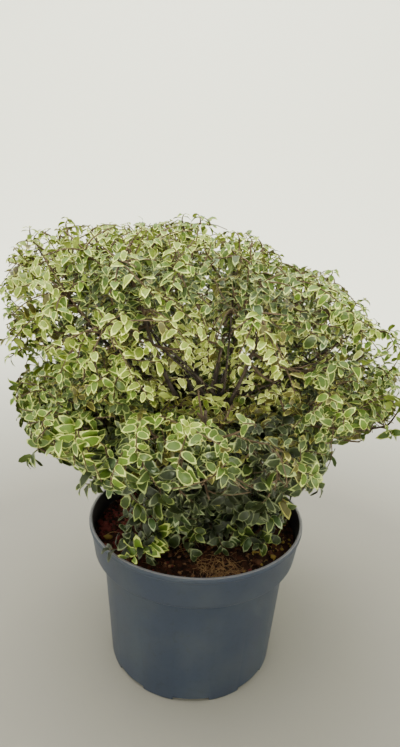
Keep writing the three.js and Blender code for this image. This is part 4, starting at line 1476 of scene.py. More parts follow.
@dataclass
class Crown:
    """The whole head: rings of balls, two at the top, and low sprays from the foot of the trunk."""

    trunk: Trunk
    habit: LeafHabit = LeafHabit()
    tints: TintRule = TintRule()
    # Boughs, stems and their first twigs, as in the CAD source
    gap: float = 0.35
    bough_entry: float = 0.72
    bough_radii: Pair = (3.9, 2.1)
    shoot_radii: Pair = (2.4, 1.5)
    bough_steps: int = 5
    bark_steps: int = 44
    bark_sides: int = 12
    stem_steps: int = 3
    stem_lift: float = 0.3
    stem_bend: float = 0.3
    stem_taper: float = 0.9
    stem_tip_radius: float = 1.5
    twig_foot_radius: float = 1.9
    twig_radii: Triple = (1.6, 1.25, 0.95)
    twig_count: int = 9
    spray_twig_count: int = 3
    twig_open: Pair = (100.0, 34.0)
    twig_sway: float = 9.0
    twig_bend_at: float = 0.55
    twig_light_bend: float = 0.1
    stem_end_margin: float = 0.85
    twig_end_margin: float = 0.66
    twig_shortest: float = 0.3
    limb_clearance: float = 0.8
    solid_leaf: float = 57.0
    solid_spray_leaf: float = 24.0
    # How the rule goes on to finer twigs, which fill the skins of each ball and keep off what lies round it
    uneven: float = 9.0
    uneven_high: float = 2.4
    uneven_zone: Pair = (400, 80)
    light_zone: Pair = (270, 200)
    hollow: float = 32.0
    thinnest: float = 0.5
    shoot_foot: float = 1.1
    filler_foot: float = 0.8
    filler_least: float = 0.4
    filler_reach: Pair = (9, 80)
    cover_reach: Pair = (8, 60)
    bare: float = 14.0
    inner_skin: float = 38.0
    inner_bare: float = 15.0
    skin_points: int = 230
    skin_depth: float = 0.28
    box_margin: float = 1.4
    rim_reach: float = 122.0
    over_rim: float = 200.0
    over_bed: float = 181.5
    # Shoots with places of their own: out of the outline, low in front, bare before the clearing, inside
    sprig_reach: Pair = (14.0, 105.0)
    foot_shares: Triple = (0.3, 0.6, 0.95)
    sprigs: tuple[Triple, ...] = (
        (-29, -10, 562), (-14, 20, 563), (-192, -20, 541), (-160, 20, 551), (-222, -30, 480),
        (-223, -30, 420), (-212, -50, 405), (-230, 10, 440), (135, -20, 510), (174, -20, 481),
        (190, -40, 451), (209, -40, 433), (217, -40, 395), (222, -20, 415), (226, 10, 425), (220, -40, 330),
        (139, -60, 268), (-127, -80, 273), (-204, -44, 428), (-198, -16, 436), (204, -52, 444),
        (214, -18, 446), (226, -14, 402), (222, -48, 372), (196, -70, 404), (206, 20, 448), (-214, -20, 446),
        (232, 8, 350), (-194, -50, 287), (25, -40, 547), (46, -40, 544), (228, 0, 380), (-93, -102, 286),
        (-72, -104, 282), (-50, -105, 268), (-36, -100, 258), (-22, -100, 246), (-9, -96, 258), (8, -98, 262),
        (27, -96, 274), (44, -92, 258), (61, -90, 254), (76, -92, 264), (91, -96, 278), (106, -100, 292),
        (50, -30, 536), (62, -20, 530), (66, -40, 522), (40, 0, 545), (-8, -10, 560), (-110, 0, 548),
        (-75, 10, 552), (92, -30, 512), (112, -20, 508), (188, -10, 416), (208, 0, 402), (200, 10, 434),
        (224, 10, 388), (182, -30, 424), (206, -30, 386), (-204, 10, 452), (-200, -10, 464), (-206, 20, 366),
        (172, 30, 268), (92, 20, 505), (128, 20, 476), (166, 20, 425), (176, 10, 402), (-11, 20, 447),
        (14, 30, 500), (1, 30, 487), (160, 10, 438),
    )
    low_shoots: int = 11
    low_fan: float = 210.0
    low_run: Pair = (34, 104)
    low_rise: Pair = (6, 34)
    low_lift: Pair = (8, 20)
    low_sprig_lift: float = 26.0
    low_sprigs: tuple[tuple[Triple, Tint], ...] = (
        ((-72, -110, 206), Tint.MIDDLE), ((60, -42, 201), Tint.BLUE), ((-55, -96, 205), Tint.MIDDLE),
        ((30, -80, 198), Tint.SHADE), ((50, -32, 204), Tint.BLUE), ((-66, -116, 209), Tint.LIGHT),
    )
    leaders: tuple[tuple[Triple, ...], ...] = (
        ((10, -8, 350), (16, -34, 366), (-22, -52, 408), (-66, -66, 452)),
        ((8, -8, 346), (4, -30, 374), (-30, -50, 408), (-50, -52, 426), (-74, -40, 470)),
        ((12, -10, 352), (24, -34, 372), (25, -52, 430), (26, -62, 500)),
        ((12, -8, 346), (60, -24, 370), (86, -36, 388), (118, -50, 418), (150, -60, 448)),
        ((-6, 4, 336), (-60, -20, 380), (-119, -40, 432), (-150, -54, 484), (-172, -62, 523)),
        ((150, -12, 338), (186, -24, 326), (218, -30, 336), (229, -30, 358)),
    )
    leader_radii: Pair = (1.8, 0.9)
    leader_points: int = 33
    leader_sides: int = 7
    leader_gap: float = 1.9
    fringe: tuple[tuple[float, float, float, float, int], ...] = (
        (-60, 2, -104, 269, 16), (22, 102, -94, 267, 18), (-112, -66, -98, 288, 6), (100, 128, -92, 288, 4),
    )
    inner_sprigs: tuple[Triple, ...] = (
        (80, 50, 236), (86, 88, 216), (74, 26, 244), (92, 108, 206), (66, 70, 226), (-57, 58, 244),
        (-60, 88, 230), (-30, 60, 242), (-31, 95, 226), (-44, 76, 236), (100, 70, 222), (-10, 80, 232),
        (70, 0, 262), (76, 20, 252), (66, -20, 268), (84, 70, 228), (78, 36, 246),
    )
    inner_sprig_lift: float = 16.0
    inner_shoots: int = 64
    inner_shares: Pair = (0.2, 0.8)
    inner_run: Pair = (40, 92)
    inner_run_back: float = 34.0
    inner_rise: Pair = (4, 34)
    inner_lift: Pair = (4, 16)
    # Places of painted shade with thinned leaves, of leaves painted lighter and darker for light and shade,
    # and of none: middles and half widths
    shade: Triple = (52.0, -160.0, 350.0)
    shade_size: Triple = (34.0, 100.0, 76.0)
    tones: tuple[tuple[float, ...], ...] = (
        (-44, 448, 118, 42, -0.9), (70, 420, 50, 30, -0.5), (-102, 388, 30, 56, -0.8),
        (-22, 358, 74, 36, 1.25), (85, 378, 48, 30, -0.8), (-185, 380, 40, 110, 0.35),
        (20, 250, 80, 26, -0.8), (-60, 508, 260, 22, 0.5), (57, 301, 28, 30, -1.2),
    )
    tone_slope: float = 0.46
    # Round the heart the leaves are painted lighter: painted light.
    heart: Triple = (10.0, -10.0, 415.0)
    heart_radius: float = 110.0
    leafless_depth: float = 0.05
    clearing: Triple = (14.0, -118.0, 418.0)
    clearing_size: Triple = (98.0, 92.0, 47.0)
    bark_view: Triple = (-101.0, -48.0, 214.0)
    bark_view_size: Triple = (45.0, 48.0, 36.0)
    lumps: Lumps = field(default_factory=lambda: Lumps(53, 52.0))
    # The balls and the orders of twigs
    middle: Triple = (0.0, 0.0, 385.0)
    extent: Triple = (240.0, 222.0, 185.0)
    rings: tuple[CrownRing, ...] = (
        CrownRing("skirt", 8, 180, 150, 2, 332, 10, 16, 98, 0.15, 0.5, 0.6),
        CrownRing("shoulder", 6, 180, 130, -22, 464, -15, 0, 98, 0.56, 0.84, 0.36),
    )
    tops: tuple[tuple, ...] = (
        ("top_left", (-44, 22, 492), 90, 0.93, 0.35),
        ("top_right", (26, -26, 466), 92, 1.0, 0.5),
    )
    sprays: tuple[tuple, ...] = (
        ("low_front_left", (-66, -84, 212), 32, 0.1),
        ("low_front", (-22, -62, 214), 28, 0.06),
        ("low_right", (70, -46, 212), 32, 0.08),
        ("low_back", (20, 78, 212), 32, 0.12),
    )
    second: TwigOrder = TwigOrder(6.2, 0.1, 0.94, 92, 30, 16, (26, 62), 9, 0.9, 0.95, 0.6)
    third: TwigOrder = TwigOrder(10, 0.25, 0.86, 66, 34, 14, (12, 28), 6, 0.8, 0.65, 0.42)

    def __post_init__(self) -> None:
        """Keeps a slot free of leaves before each leader, and gathers the open places."""
        self.placed = Spacing(self.habit.apart * self.habit.length)
        self.slots = Slots([leader[1:] for leader in self.leaders], self.leader_gap)
        self.open_middles = np.array([self.clearing, self.bark_view])
        self.open_sizes = np.array([self.clearing_size, self.bark_view_size])
        self.bare_skins = (Skin(self.clearing, self.clearing_size, (1.02, 1.45), 720, 7.0, 0.1),
                           Skin(self.middle, self.extent, (0.8, 0.93), 1500, 15.0, 0.0, 0.62))

    def plan(self) -> list[Ball]:
        """Returns: Every ball with its place, its size and its bough, as the CAD source plans them."""
        balls = []
        for ring in self.rings:
            for index in range(ring.count):
                angle = math.radians(ring.turn) + index / ring.count * TURN
                spread = ring.spread + ring.spread_sway * math.cos(angle)
                height = ring.height + ring.height_sway * math.cos(angle) - ring.front_lift * math.sin(angle)
                order = index // 2 + (index % 2) * (ring.count // 2)
                centre = np.array([spread * math.cos(angle), spread * math.sin(angle), height])
                bough_at = lerp(ring.bough_from, ring.bough_to, order / (ring.count - 1))
                balls.append(Ball(f"{ring.name}_{index + 1}", centre, ring.ball, bough_at, ring.bough_lift,
                                  self.solid_leaf))
        for name, centre, radius, bough_at, lift in self.tops:
            balls.append(Ball(name, np.array(centre, float), radius, bough_at, lift, self.solid_leaf))
        for name, centre, radius, bough_at in self.sprays:
            middle = np.array(centre, float)
            balls.append(Ball(name, middle, radius, bough_at, 0.5, self.solid_spray_leaf, True))
        for index, ball in enumerate(balls):
            ball.seed = 101 + index * 37
            ball.bough = self.plan_bough(ball)
        return balls

    def plan_bough(self, ball: Ball) -> Bough:
        """Returns: The bough of a ball."""
        start = self.trunk.points(ball.bough_at)[0]
        end = ball.centre + unit(start - ball.centre) * ball.radius * self.bough_entry
        control = (start + end) / 2
        control[2] = lerp(start[2], end[2], ball.bough_lift)
        return Bough(start, control, end, *(self.shoot_radii if ball.basal else self.bough_radii))

    def limbs(self, balls: Sequence[Ball]) -> Limbs:
        """Returns: Trunk and boughs as straight pieces."""
        steps = self.bough_steps
        parts = [Limbs.along(b.bough.path(steps), b.bough.radii(steps), b.name) for b in balls]
        return Limbs.joined([self.trunk.limbs(), *parts])

    def grow_stem(self, ball: Ball, space: Space) -> Twig:
        """Returns: The stem of a ball: on from the bough's tip, bending up towards the ball's far side."""
        path = ball.bough.path(self.bough_steps)
        heading = unit(path[-1] - path[-2])
        start = path[-1] + heading * self.gap
        aim = ball.centre - start
        aim[2] += ball.radius * self.stem_lift
        aim = unit(aim)
        length = space.reach(start, aim, ball.leaf_room * self.stem_end_margin)
        bend, end = start + heading * length * self.stem_bend, start + aim * length
        thick = ball.bough.tip_radius * self.stem_taper
        radii = np.linspace(thick, self.stem_tip_radius, self.stem_steps + 1)
        return Twig(curve(start, bend, end, self.stem_steps), radii, 0)

    def grow_twigs(self, ball: Ball, space: Space, near: Limbs, stem: Twig, draw: Seeded) -> list[Twig]:
        """The twigs that the CAD source has too, set round the stem by the golden angle.

        Args:
            ball: The ball.
            space: Its room.
            near: The limbs round it.
            stem: Its stem.
            draw: Its row of numbers.

        Returns:
            The twigs.
        """
        others = near.only(near.owners != ball.name)
        thick = self.twig_foot_radius + self.limb_clearance
        count = self.spray_twig_count if ball.basal else self.twig_count
        spin = draw() * TURN
        twigs = []
        for index in range(count):
            share = (index + 0.5) / count
            level = min(int(share * self.stem_steps), self.stem_steps - 1)
            low, high = stem.path[level], stem.path[level + 1]
            start = low + (high - low) * (share * self.stem_steps - level)
            along = unit(high - low)
            aside = turned(square_to(along), along, spin + index * GOLDEN_ANGLE)
            sway = draw.between(-self.twig_sway, self.twig_sway)
            opened = math.radians(lerp(*self.twig_open, share) + sway)
            heading = along * math.cos(opened) + aside * math.sin(opened)
            reach = space.reach(start, heading, ball.leaf_room * self.twig_end_margin)
            if reach < ball.leaf_room * self.twig_shortest:
                continue
            middle, tip = start + heading * reach * self.twig_bend_at, start + heading * reach
            tip[2] += reach * self.twig_light_bend
            fits = (space.holds(np.array([tip, middle]), self.twig_foot_radius).all()
                    and others.clear(start, middle, thick) and near.clear(middle, tip, thick))
            if fits:
                path = np.array([start, middle, tip])
                twigs.append(Twig(path, np.array(self.twig_radii), 1, draw() * TURN))
        return twigs

    def grow_finer(self, parent: Twig, order: TwigOrder, number: int, space: Space, near: Limbs,
                   draw: Seeded) -> list[Twig]:
        """Carries the rule one order on: finer twigs round a twig, and one on from its tip.

        Args:
            parent: The twig that bears them.
            order: How they leave it.
            number: Their order, counted from the stem.
            space: The room of their ball.
            near: Trunk and boughs round it.
            draw: The row of numbers.

        Returns:
            The finer twigs.
        """
        length = parent.length()
        uneven = self.uneven * lerp(1, self.uneven_high, ramp(parent.path[-1][2], *self.uneven_zone))
        count = max(int(length * (order.share_to - order.share_from) / order.spacing), 1)
        spin = draw() * TURN
        twigs = []
        for index in range(count + 1):
            leader = index == count
            share = 1.0 if leader else lerp(order.share_from, order.share_to, (index + 0.5) / count)
            start, along = parent.at(length * share)
            aside = turned(square_to(along), along, spin + index * GOLDEN_ANGLE)
            sway = draw.between(-order.sway, order.sway)
            opened = math.radians(sway if leader else lerp(order.open_foot, order.open_tip, share) + sway)
            heading = along * math.cos(opened) + aside * math.sin(opened)
            wanted, turn = draw.between(*order.longest), draw() * TURN
            room = self.habit.length * 0.8 + self.hollow * self.lumps(start + heading * 25) + uneven * draw()
            reach = min(space.reach(start, heading, room), wanted)
            onward = unit(heading + self.light(start) * order.light_bend)
            while reach >= order.shortest:
                middle = start + heading * reach * 0.45
                tip = middle + onward * reach * 0.55
                fits = (space.holds(np.array([middle, tip]), self.habit.length * 0.6).all()
                        and not self.cleared(tip) and not self.cleared(middle)
                        and self.inside_box(tip[None] + np.array([[0, 0, self.habit.length * 0.3]]))
                        and near.clear(start + heading, middle, order.foot_radius + 0.2)
                        and near.clear(middle, tip, order.foot_radius + 0.4))
                if fits:
                    radii = np.linspace(order.foot_radius, order.tip_radius, 5)
                    twigs.append(Twig(curve(start, middle, tip, 4), radii, number, turn))
                    break
                reach *= 0.75
        return twigs

    def cleared(self, point: Array) -> bool:
        """Returns: Whether a point is in the clearing in front, or over the red chips on the left."""
        return bool((norm((point - self.open_middles) / self.open_sizes, axis=1) < 1).any())

    def shaded(self, point: Array) -> bool:
        """Returns: Whether a point is in the thin place under the front of the head, where the leaves are
        thinned and painted dark: painted shade.
        """
        return egg(point, self.shade, self.shade_size) < 1

    def light(self, point: Array) -> Array:
        """Returns: Where shoots turn as they grow: outwards low in the head, and upwards high in it."""
        high = ramp(point[2], *self.light_zone)
        outward = unit(np.array([point[0], point[1], 0.01]))
        return unit(UP * lerp(0.3, 1.2, high) + outward * lerp(1.0, 0.35, high))

    def tone(self, point: Array) -> float:
        """Returns: How much lighter or darker the leaves of the front of the head are painted here: painted
        light and painted shade in broad patches.
        """
        seen = np.array([point[0], point[2] + self.tone_slope * point[1]])
        parts = [amount * math.exp(-float((((seen - (x, z)) / (wide, tall)) ** 2).sum()))
                 for x, z, wide, tall, amount in self.tones]
        return sum(parts) * (point[1] < 30)

    def depth(self, point: Array) -> float:
        """Returns: How far out in the head a point is, from 0 in its middle to about 1 at its skin."""
        return egg(point, self.middle, self.extent)

    def tint(self, ball: Ball, tip: Array, draw: Seeded) -> Tint:
        """Picks the tint of a spray: young and light high and far out, old and dark low and inside. The
        lightness stands for how the head is lit: painted light high, far out, in the heart and in lit
        patches, painted shade low, inside, in hollows and in shaded patches.

        Args:
            ball: The ball that it is in.
            tip: The point of its tip.
            draw: The row of numbers.

        Returns:
            The tint.
        """
        rule = self.tints
        # The inner shoots' leaves take the darkest tints: painted shade.
        if ball.name == "low_back":
            return Tint.SHADE if draw() < rule.back_shade else Tint.DEEP_SHADE
        # The low sprays take dark tints: painted shade.
        if ball.basal:
            dark = (Tint.BLUE, Tint.SHADE, Tint.SHADE, Tint.DEEP_SHADE, Tint.OLD, Tint.DEEP_SHADE, Tint.DEEP_SHADE)
            return dark[int(draw() * len(dark))]
        # Behind the clearing most leaves take the pale tint: painted light in its shade.
        round_clearing = egg(tip, self.clearing, self.clearing_size) < rule.yellowed_round
        if round_clearing and tip[1] > self.clearing[1] + rule.yellowed_behind and draw() < rule.yellowed:
            return Tint.YELLOWED
        # In the shaded place the leaves take dark tints: painted shade.
        if self.shaded(tip):
            return (Tint.DEEP_SHADE, Tint.SHADE, Tint.SHADE, Tint.OLD, Tint.OLIVE)[int(draw() * 5)]
        # The score paints light high, far out, in the heart and in lit patches, and shade inside, low and in
        # hollows.
        out, up = self.depth(tip), (tip[2] - rule.zone[0]) / rule.zone[1]
        score = rule.height_gain * up + rule.skin_gain * max(out - rule.skin_at, rule.inside_least)
        score -= rule.lump_loss * (self.lumps(tip) - rule.lump_mean)
        score += draw.between(-rule.chance, rule.chance)
        score += rule.heart_gain * (float(norm(tip - np.array(self.heart))) < self.heart_radius)
        score += self.tone(tip) - rule.skirt_loss * min(max((rule.skirt[0] - tip[2]) / rule.skirt[1], 0), 1)
        if draw() < rule.olive_shares[0 if out > rule.olive_inside or tip[2] < rule.olive_above else 1]:
            return Tint.OLIVE
        for limit, tint in rule.lights:
            if score > limit:
                return tint
        # The lowest scores take the darkest tints: painted shade.
        if score < rule.shade_below:
            return Tint.DEEP_SHADE if score < rule.deep_shade_below else Tint.SHADE
        return Tint.BLUE if draw() < rule.blue_shares[0 if tip[2] > rule.blue_above else 1] else Tint.OLD

    def leaf_out(self, plot: Plot, twig: Twig, draw: Seeded, loose: bool = False,
                 own: Optional[Tint] = None) -> None:
        """Sets leaves round a twig by the golden angle, crowded at its tip and fewer towards its foot.

        Args:
            plot: The ball with what has grown in it.
            twig: The twig that bears them.
            draw: The row of numbers.
            loose: Whether they may leave the room of the ball.
            own: The tint of all of them, where it isn't left to their place.
        """
        habit, ball = self.habit, plot.ball
        length, end = twig.length(), twig.path[-1]
        tint = own or self.tint(ball, end, draw)
        outward = unit(np.array([end[0], end[1], 1.0]))
        high = ramp(end[2], *habit.high_zone)
        hang = habit.hang[1] if ball.basal else lerp(*habit.hang, ramp(end[2], *habit.hang_zone))
        small = 0 if ball.basal else ramp(end[2], *habit.size_zone)
        size = habit.length * draw.between(*habit.size_sway) * lerp(*habit.sizes, small)
        ragged = draw.between(0, habit.ragged * lerp(1, 2, high))
        for index in range(habit.most):
            back = 0.5 * index * index + 1.0 * index
            if back > length * habit.leafy:
                break
            root, axis = twig.at(length - back)
            long = size * lerp(*habit.young_to_grown, min((index + 1) / habit.grown_after, 1))
            long *= draw.between(*habit.length_sway)
            spread = lerp(*habit.opened, min(index / habit.opened_after, 1)) + habit.opened_high * high
            spread = math.radians(spread + draw.between(-habit.opened_sway, habit.opened_sway))
            sway = np.array([draw.between(-habit.face_sway, habit.face_sway) for _ in range(3)])
            if draw() < habit.tint_change:
                tint = own or self.tint(ball, end, draw)
            form = int(draw() * LeafForms.COUNT)
            if not loose and draw() < habit.thinned and self.shaded(root):
                continue
            for attempt in range(3):
                aside = turned(square_to(axis), axis, twig.turn + (index + attempt) * GOLDEN_ANGLE)
                along = axis * math.cos(spread) + aside * math.sin(spread)
                along = unit(along * np.array([1, 1, lerp(*habit.rise_kept, high)]) - UP * hang)
                face = axis * math.sin(spread) - aside * math.cos(spread)
                face = face * lerp(*habit.face_along, high) + UP * lerp(*habit.face_up, high) + sway
                hung = max(-along[2] - 0.2, 0)
                face += outward * (habit.face_out * (1 - high) + habit.face_out_hung * hung)
                face = unit(face - along * (face @ along))
                if self.leaf_fits(plot, root, along, face, long, None if loose else ragged):
                    plot.leaves.rows.append((root, along, face, long, form, list(Tint).index(tint)))
                    break

    def leaf_fits(self, plot: Plot, root: Array, along: Array, face: Array, long: float,
                  ragged: Optional[float]) -> bool:
        """Finds out whether there is room for a leaf, and notes its middle if there is.

        Args:
            plot: The ball with what has grown in it.
            root: Where the leaf starts.
            along: Its direction.
            face: The direction of its upper side.
            long: Its length.
            ragged: How far it stays inside the room of its ball, or None where it may leave it.

        Returns:
            Whether there is room.
        """
        side = np.cross(face, along)
        marks = root + long * np.array([along * 0.5, along * 0.97, along * 0.55 + side * 0.36,
                                        along * 0.55 - side * 0.36, along * 0.9 - face * 0.2])
        fits = ((ragged is None or plot.space.holds(marks, ragged).all())
                and (plot.guarded.off(marks) > 0.6).all() and self.inside_box(marks)
                and self.boxed(root + long * (along * 0.93 - face * 0.75))
                and self.placed.free(marks[0], self.habit.apart * self.habit.length)
                and (ragged is None or not self.cleared(marks[0])) and not self.slots.hold(marks[:4]))
        if fits:
            self.placed.add(marks[0])
        return fits

    def boxed(self, points: Array) -> bool:
        """Returns: Whether points are inside the CAD box."""
        low, high = (np.array(corner) / MM for corner in CAD_BOX)
        return bool(((points > low + self.box_margin) & (points < high - self.box_margin)).all())

    def inside_box(self, points: Array) -> bool:
        """Returns: Whether points are inside the CAD box and clear of the pot's rim and the compost."""
        ground = np.where(np.hypot(points[:, 0], points[:, 1]) > self.rim_reach, self.over_rim, self.over_bed)
        return self.boxed(points) and bool((points[:, 2] > ground).all())

    def feet(self, plots: Sequence[Plot], shares: Sequence[float]) -> tuple[list[Foot], Array]:
        """Finds places on twigs from which more can grow.

        Args:
            plots: The balls that bear the twigs.
            shares: How far along its twig each place is.

        Returns:
            The places, and their points alone.
        """
        rows = [(*twig.at(twig.length() * share), plot) for plot in plots for twig in plot.twigs
                if twig.order < 3 for share in shares]
        return rows, np.array([row[0] for row in rows])

    def sprout(self, plot: Plot, line: Array, thick: float, draw: Seeded, loose: bool = True,
               own: Optional[Tint] = None) -> None:
        """Adds a thin twig and its leaves to a ball.

        Args:
            plot: The ball with what has grown in it.
            line: The points of the twig's axis.
            thick: Its radius at the foot.
            draw: The row of numbers.
            loose: Whether the leaves may leave the room of the ball.
            own: Their tint, where it isn't left to their place.
        """
        twig = Twig(line, np.linspace(thick, self.thinnest, len(line)), 2, draw() * TURN)
        plot.twigs.append(twig)
        self.leaf_out(plot, twig, draw, loose, own)

    def fill(self, plot: Plot, draw: Seeded, depth: float, bare: float) -> None:
        """Sends a fine leafy twig to each bare place in a skin of a ball, from the twig nearest to it.

        Args:
            plot: The ball with what has grown in it.
            draw: The row of numbers.
            depth: How far the skin lies inside the outer one.
            bare: How far the nearest leaf is from a bare place at least.
        """
        ball, space = plot.ball, plot.space
        feet, points = self.feet([plot], (0.25, 0.5, 0.75, 0.97))
        least = ball.radius * self.filler_least
        for index in range(self.skin_points):
            aim = spread_aim(index, self.skin_points)
            reach = space.radius - self.habit.length * 0.6 - depth
            reach -= self.hollow * self.lumps(ball.centre + aim * reach) + self.uneven * draw()
            while reach > least and not space.holds(ball.centre + aim * reach, self.habit.length * 0.5):
                reach -= 4
            target = ball.centre + aim * reach
            deep = not ball.basal and self.depth(target) < self.skin_depth - depth / self.middle[2]
            if reach <= least or deep or not self.placed.free(target, bare):
                continue
            apart = norm(points - target, axis=1)
            for nearest in np.argsort(apart)[:6]:
                start, along, _ = feet[nearest]
                if not self.filler_reach[0] < apart[nearest] < self.filler_reach[1]:
                    continue
                line = curve(start, start + (along + unit(target - start)) * apart[nearest] * 0.3, target, 5)
                if (plot.near.clear_along(line[[1, 3, 5]], 1.2) and space.holds(line[1:5], 2.0).all()
                        and self.inside_box(line[5:])
                        and not self.cleared(line[3]) and not self.cleared(line[5])):
                    self.sprout(plot, line, self.filler_foot, draw, False)
                    break

    def grow_to(self, foot: Foot, target: Array, bend: Array, thick: float, draw: Seeded) -> bool:
        """Grows one leafy twig to a place.

        Args:
            foot: Where it leaves its parent, the parent's heading there, and the ball it becomes part of.
            target: Where it ends.
            bend: What bends it as it leaves its parent, as long as the parent's heading.
            thick: Its radius at the foot.
            draw: The row of numbers.

        Returns:
            Whether it fits.
        """
        start, along, plot = foot
        control = start + (along + bend) * float(norm(target - start)) * 0.28
        line = curve(start, control, target, 6)
        fits = plot.near.clear_along(line[[1, 3, 6]], thick)
        if fits:
            self.sprout(plot, line, thick, draw)
        return fits

    def send_sprigs(self, heads: Sequence[Plot]) -> None:
        """Grows the shoots that stand out of the head's outline, each from the twig nearest to its tip.

        Args:
            heads: All balls but the low sprays, with what has grown in them.
        """
        draw = Seeded(6007)
        feet, points = self.feet(heads, self.foot_shares)
        depths = np.array([self.depth(point) for point in points])
        fringe = [(lerp(left, right, (index + draw()) / count), y + draw.between(-16, 12),
                   z + draw.between(-8, 16))
                  for left, right, y, z, count in self.fringe for index in range(count)]
        for sprig in (*self.sprigs, *fringe):
            target = np.array(sprig, float)
            apart = norm(points - target, axis=1)
            near = (apart > self.sprig_reach[0]) & (apart < self.sprig_reach[1])
            usable = (depths < self.depth(target) - 0.03) & near
            for nearest in np.argsort(np.where(usable, apart, 1e9))[:8]:
                bend = self.light(points[nearest])
                if usable[nearest] and self.grow_to(feet[nearest], target, bend, self.shoot_foot, draw):
                    break

    def cover(self, heads: Sequence[Plot], draw: Seeded, skin: Skin) -> None:
        """Grows small leafy twigs where a skin is bare, each from the twig nearest to it.

        Args:
            heads: All balls but the low sprays, with what has grown in them.
            draw: The row of numbers.
            skin: The skin.
        """
        feet, points = self.feet(heads, self.foot_shares)
        whole = Space(Ball("head", np.array(self.middle), 400.0, 0.5, 0.5, self.solid_leaf), [], True)
        for index in range(skin.points):
            aim = spread_aim(index, skin.points)
            target = np.array(skin.middle) + aim * np.array(skin.size) * draw.between(*skin.share)
            bare = (aim[1] > skin.behind or aim[2] > skin.above) and self.placed.free(target, skin.apart)
            if not bare or not whole.holds(target, self.habit.length):
                continue
            apart = norm(points - target, axis=1)
            nearest = int(np.argmin(np.where(apart > self.cover_reach[0], apart, 1e9)))
            if apart[nearest] < self.cover_reach[1]:
                bend = unit(target - points[nearest])
                self.grow_to(feet[nearest], target, bend, self.filler_foot, draw)

    def send_low_shoots(self, plot: Plot) -> None:
        """Grows thin shoots from the trunk's foot, low over the compost, most of them in front.

        Args:
            plot: The low front spray, which they become part of.
        """
        draw = Seeded(7001)
        foot = np.array(self.trunk.foot) + UP * 8
        for sprig in self.inner_sprigs:
            target = np.array(sprig, float)
            start = foot + UP * 14 + unit((target - foot) * LEVEL) * self.trunk.top_radius
            self.sprout(plot, arc(start, target, self.inner_sprig_lift), self.shoot_foot, draw)
        for index in range(self.low_shoots):
            heading = level(math.radians(-90 + self.low_fan * ((index * 0.618034) % 1 - 0.5)))
            run, rise, lift = (draw.between(*span) for span in (self.low_run, self.low_rise, self.low_lift))
            target, own = foot + heading * run + UP * rise, None
            if index < len(self.low_sprigs):
                (place_at, own), lift = self.low_sprigs[index], self.low_sprig_lift
                target = np.array(place_at, float)
                heading = unit((target - foot) * LEVEL)
            line = arc(foot + heading * self.trunk.foot_radius * 0.9, target, lift)
            if self.inside_box(line[2:]):
                self.sprout(plot, line, self.shoot_foot, draw, True, own)

    def send_inner_shoots(self, plot: Plot) -> None:
        """Grows old shoots from the trunk into the hollow under the head, where they and their leaves in the
        darkest tints make it dark: painted shade.

        Args:
            plot: The low back spray, which they become part of.
        """
        draw = Seeded(8009)
        for index in range(self.inner_shoots):
            foot = self.trunk.points(lerp(*self.inner_shares, index / (self.inner_shoots - 1)))[0]
            heading = level(index * GOLDEN_ANGLE)
            longest = self.inner_run[1] + self.inner_run_back * max(heading[1], 0)
            run, rise = draw.between(self.inner_run[0], longest), draw.between(*self.inner_rise)
            target = foot + heading * run + UP * rise
            line = arc(foot + heading * self.trunk.top_radius, target, draw.between(*self.inner_lift))
            if plot.near.clear_along(line[[2, 4, 6]], self.limb_clearance):
                self.sprout(plot, line, self.shoot_foot, draw)

    def plant(self, ball: Ball, balls: Sequence[Ball], limbs: Limbs) -> Plot:
        """Grows one ball by the rule: its stem, its twigs of three orders and their leaves.

        Args:
            ball: The ball.
            balls: All balls of the shrub.
            limbs: Trunk and boughs.

        Returns:
            The ball with what has grown in it.
        """
        room, space = Space(ball, balls), Space(ball, balls, True)
        reach = ball.radius + self.solid_leaf * 2
        near = limbs.only(norm(limbs.starts - ball.centre, axis=1) < reach)
        stem = self.grow_stem(ball, room)
        coarse = [stem, *self.grow_twigs(ball, room, near, stem, Seeded(ball.seed))]
        rods = [Limbs.along(twig.path, twig.radii * 0.6, "twig") for twig in coarse]
        plot = Plot(ball, space, near, Limbs.joined([near, *rods]))
        draw = Seeded(ball.seed + 5000)
        finer = [t for twig in coarse for t in self.grow_finer(twig, self.second, 2, space, near, draw)]
        finest = []
        for twig in finer:
            if twig.length() > 20 and not ball.basal:
                finest += self.grow_finer(twig, self.third, 3, space, near, draw)
        for twig in [*finest, *finer]:
            if ball.basal or self.depth(twig.path[-1]) > self.leafless_depth:
                self.leaf_out(plot, twig, draw)
        plot.twigs = [*coarse, *finer, *finest]
        return plot

    def grow(self) -> list[Plot]:
        """Returns: Every ball with its stem, its twigs and its leaves."""
        balls = self.plan()
        limbs = self.limbs(balls)
        plots = [self.plant(ball, balls, limbs) for ball in balls]
        heads = [plot for plot in plots if not plot.ball.basal]
        for plot in plots:
            self.fill(plot, Seeded(plot.ball.seed + 9000), 0.0, self.bare)
        for plot in heads:
            self.fill(plot, Seeded(plot.ball.seed + 9500), self.inner_skin, self.inner_bare)
        for seed, skin in zip((3011, 4021), self.bare_skins):
            self.cover(heads, Seeded(seed), skin)
        self.send_sprigs(heads)
        self.send_low_shoots(next(plot for plot in plots if plot.ball.name == "low_front"))
        self.send_inner_shoots(next(plot for plot in plots if plot.ball.name == "low_back"))
        return plots

    def bough_skin(self, seed: int) -> Callable[[Array, float], Array]:
        """Returns: A bough's own relief: a collar at its foot, shallow ridges and rings of old leaf scars."""
        draw = Seeded(seed)
        first, second = draw() * TURN, draw() * TURN

        def skin(angles: Array, run: float) -> Array:
            """Returns: The factors on the radius round one ring."""
            collar = 1 + 0.5 * math.exp(-run / 9)
            ridges = 0.06 * np.sin(angles * 3 + first + run / 19)
            ridges = ridges + 0.04 * np.sin(angles * 5 - run / 7 + second)
            scars = 0.07 * max(math.sin(run / 2.3 + first), 0.7) - 0.049
            return collar * (0.97 + ridges + scars)

        return skin

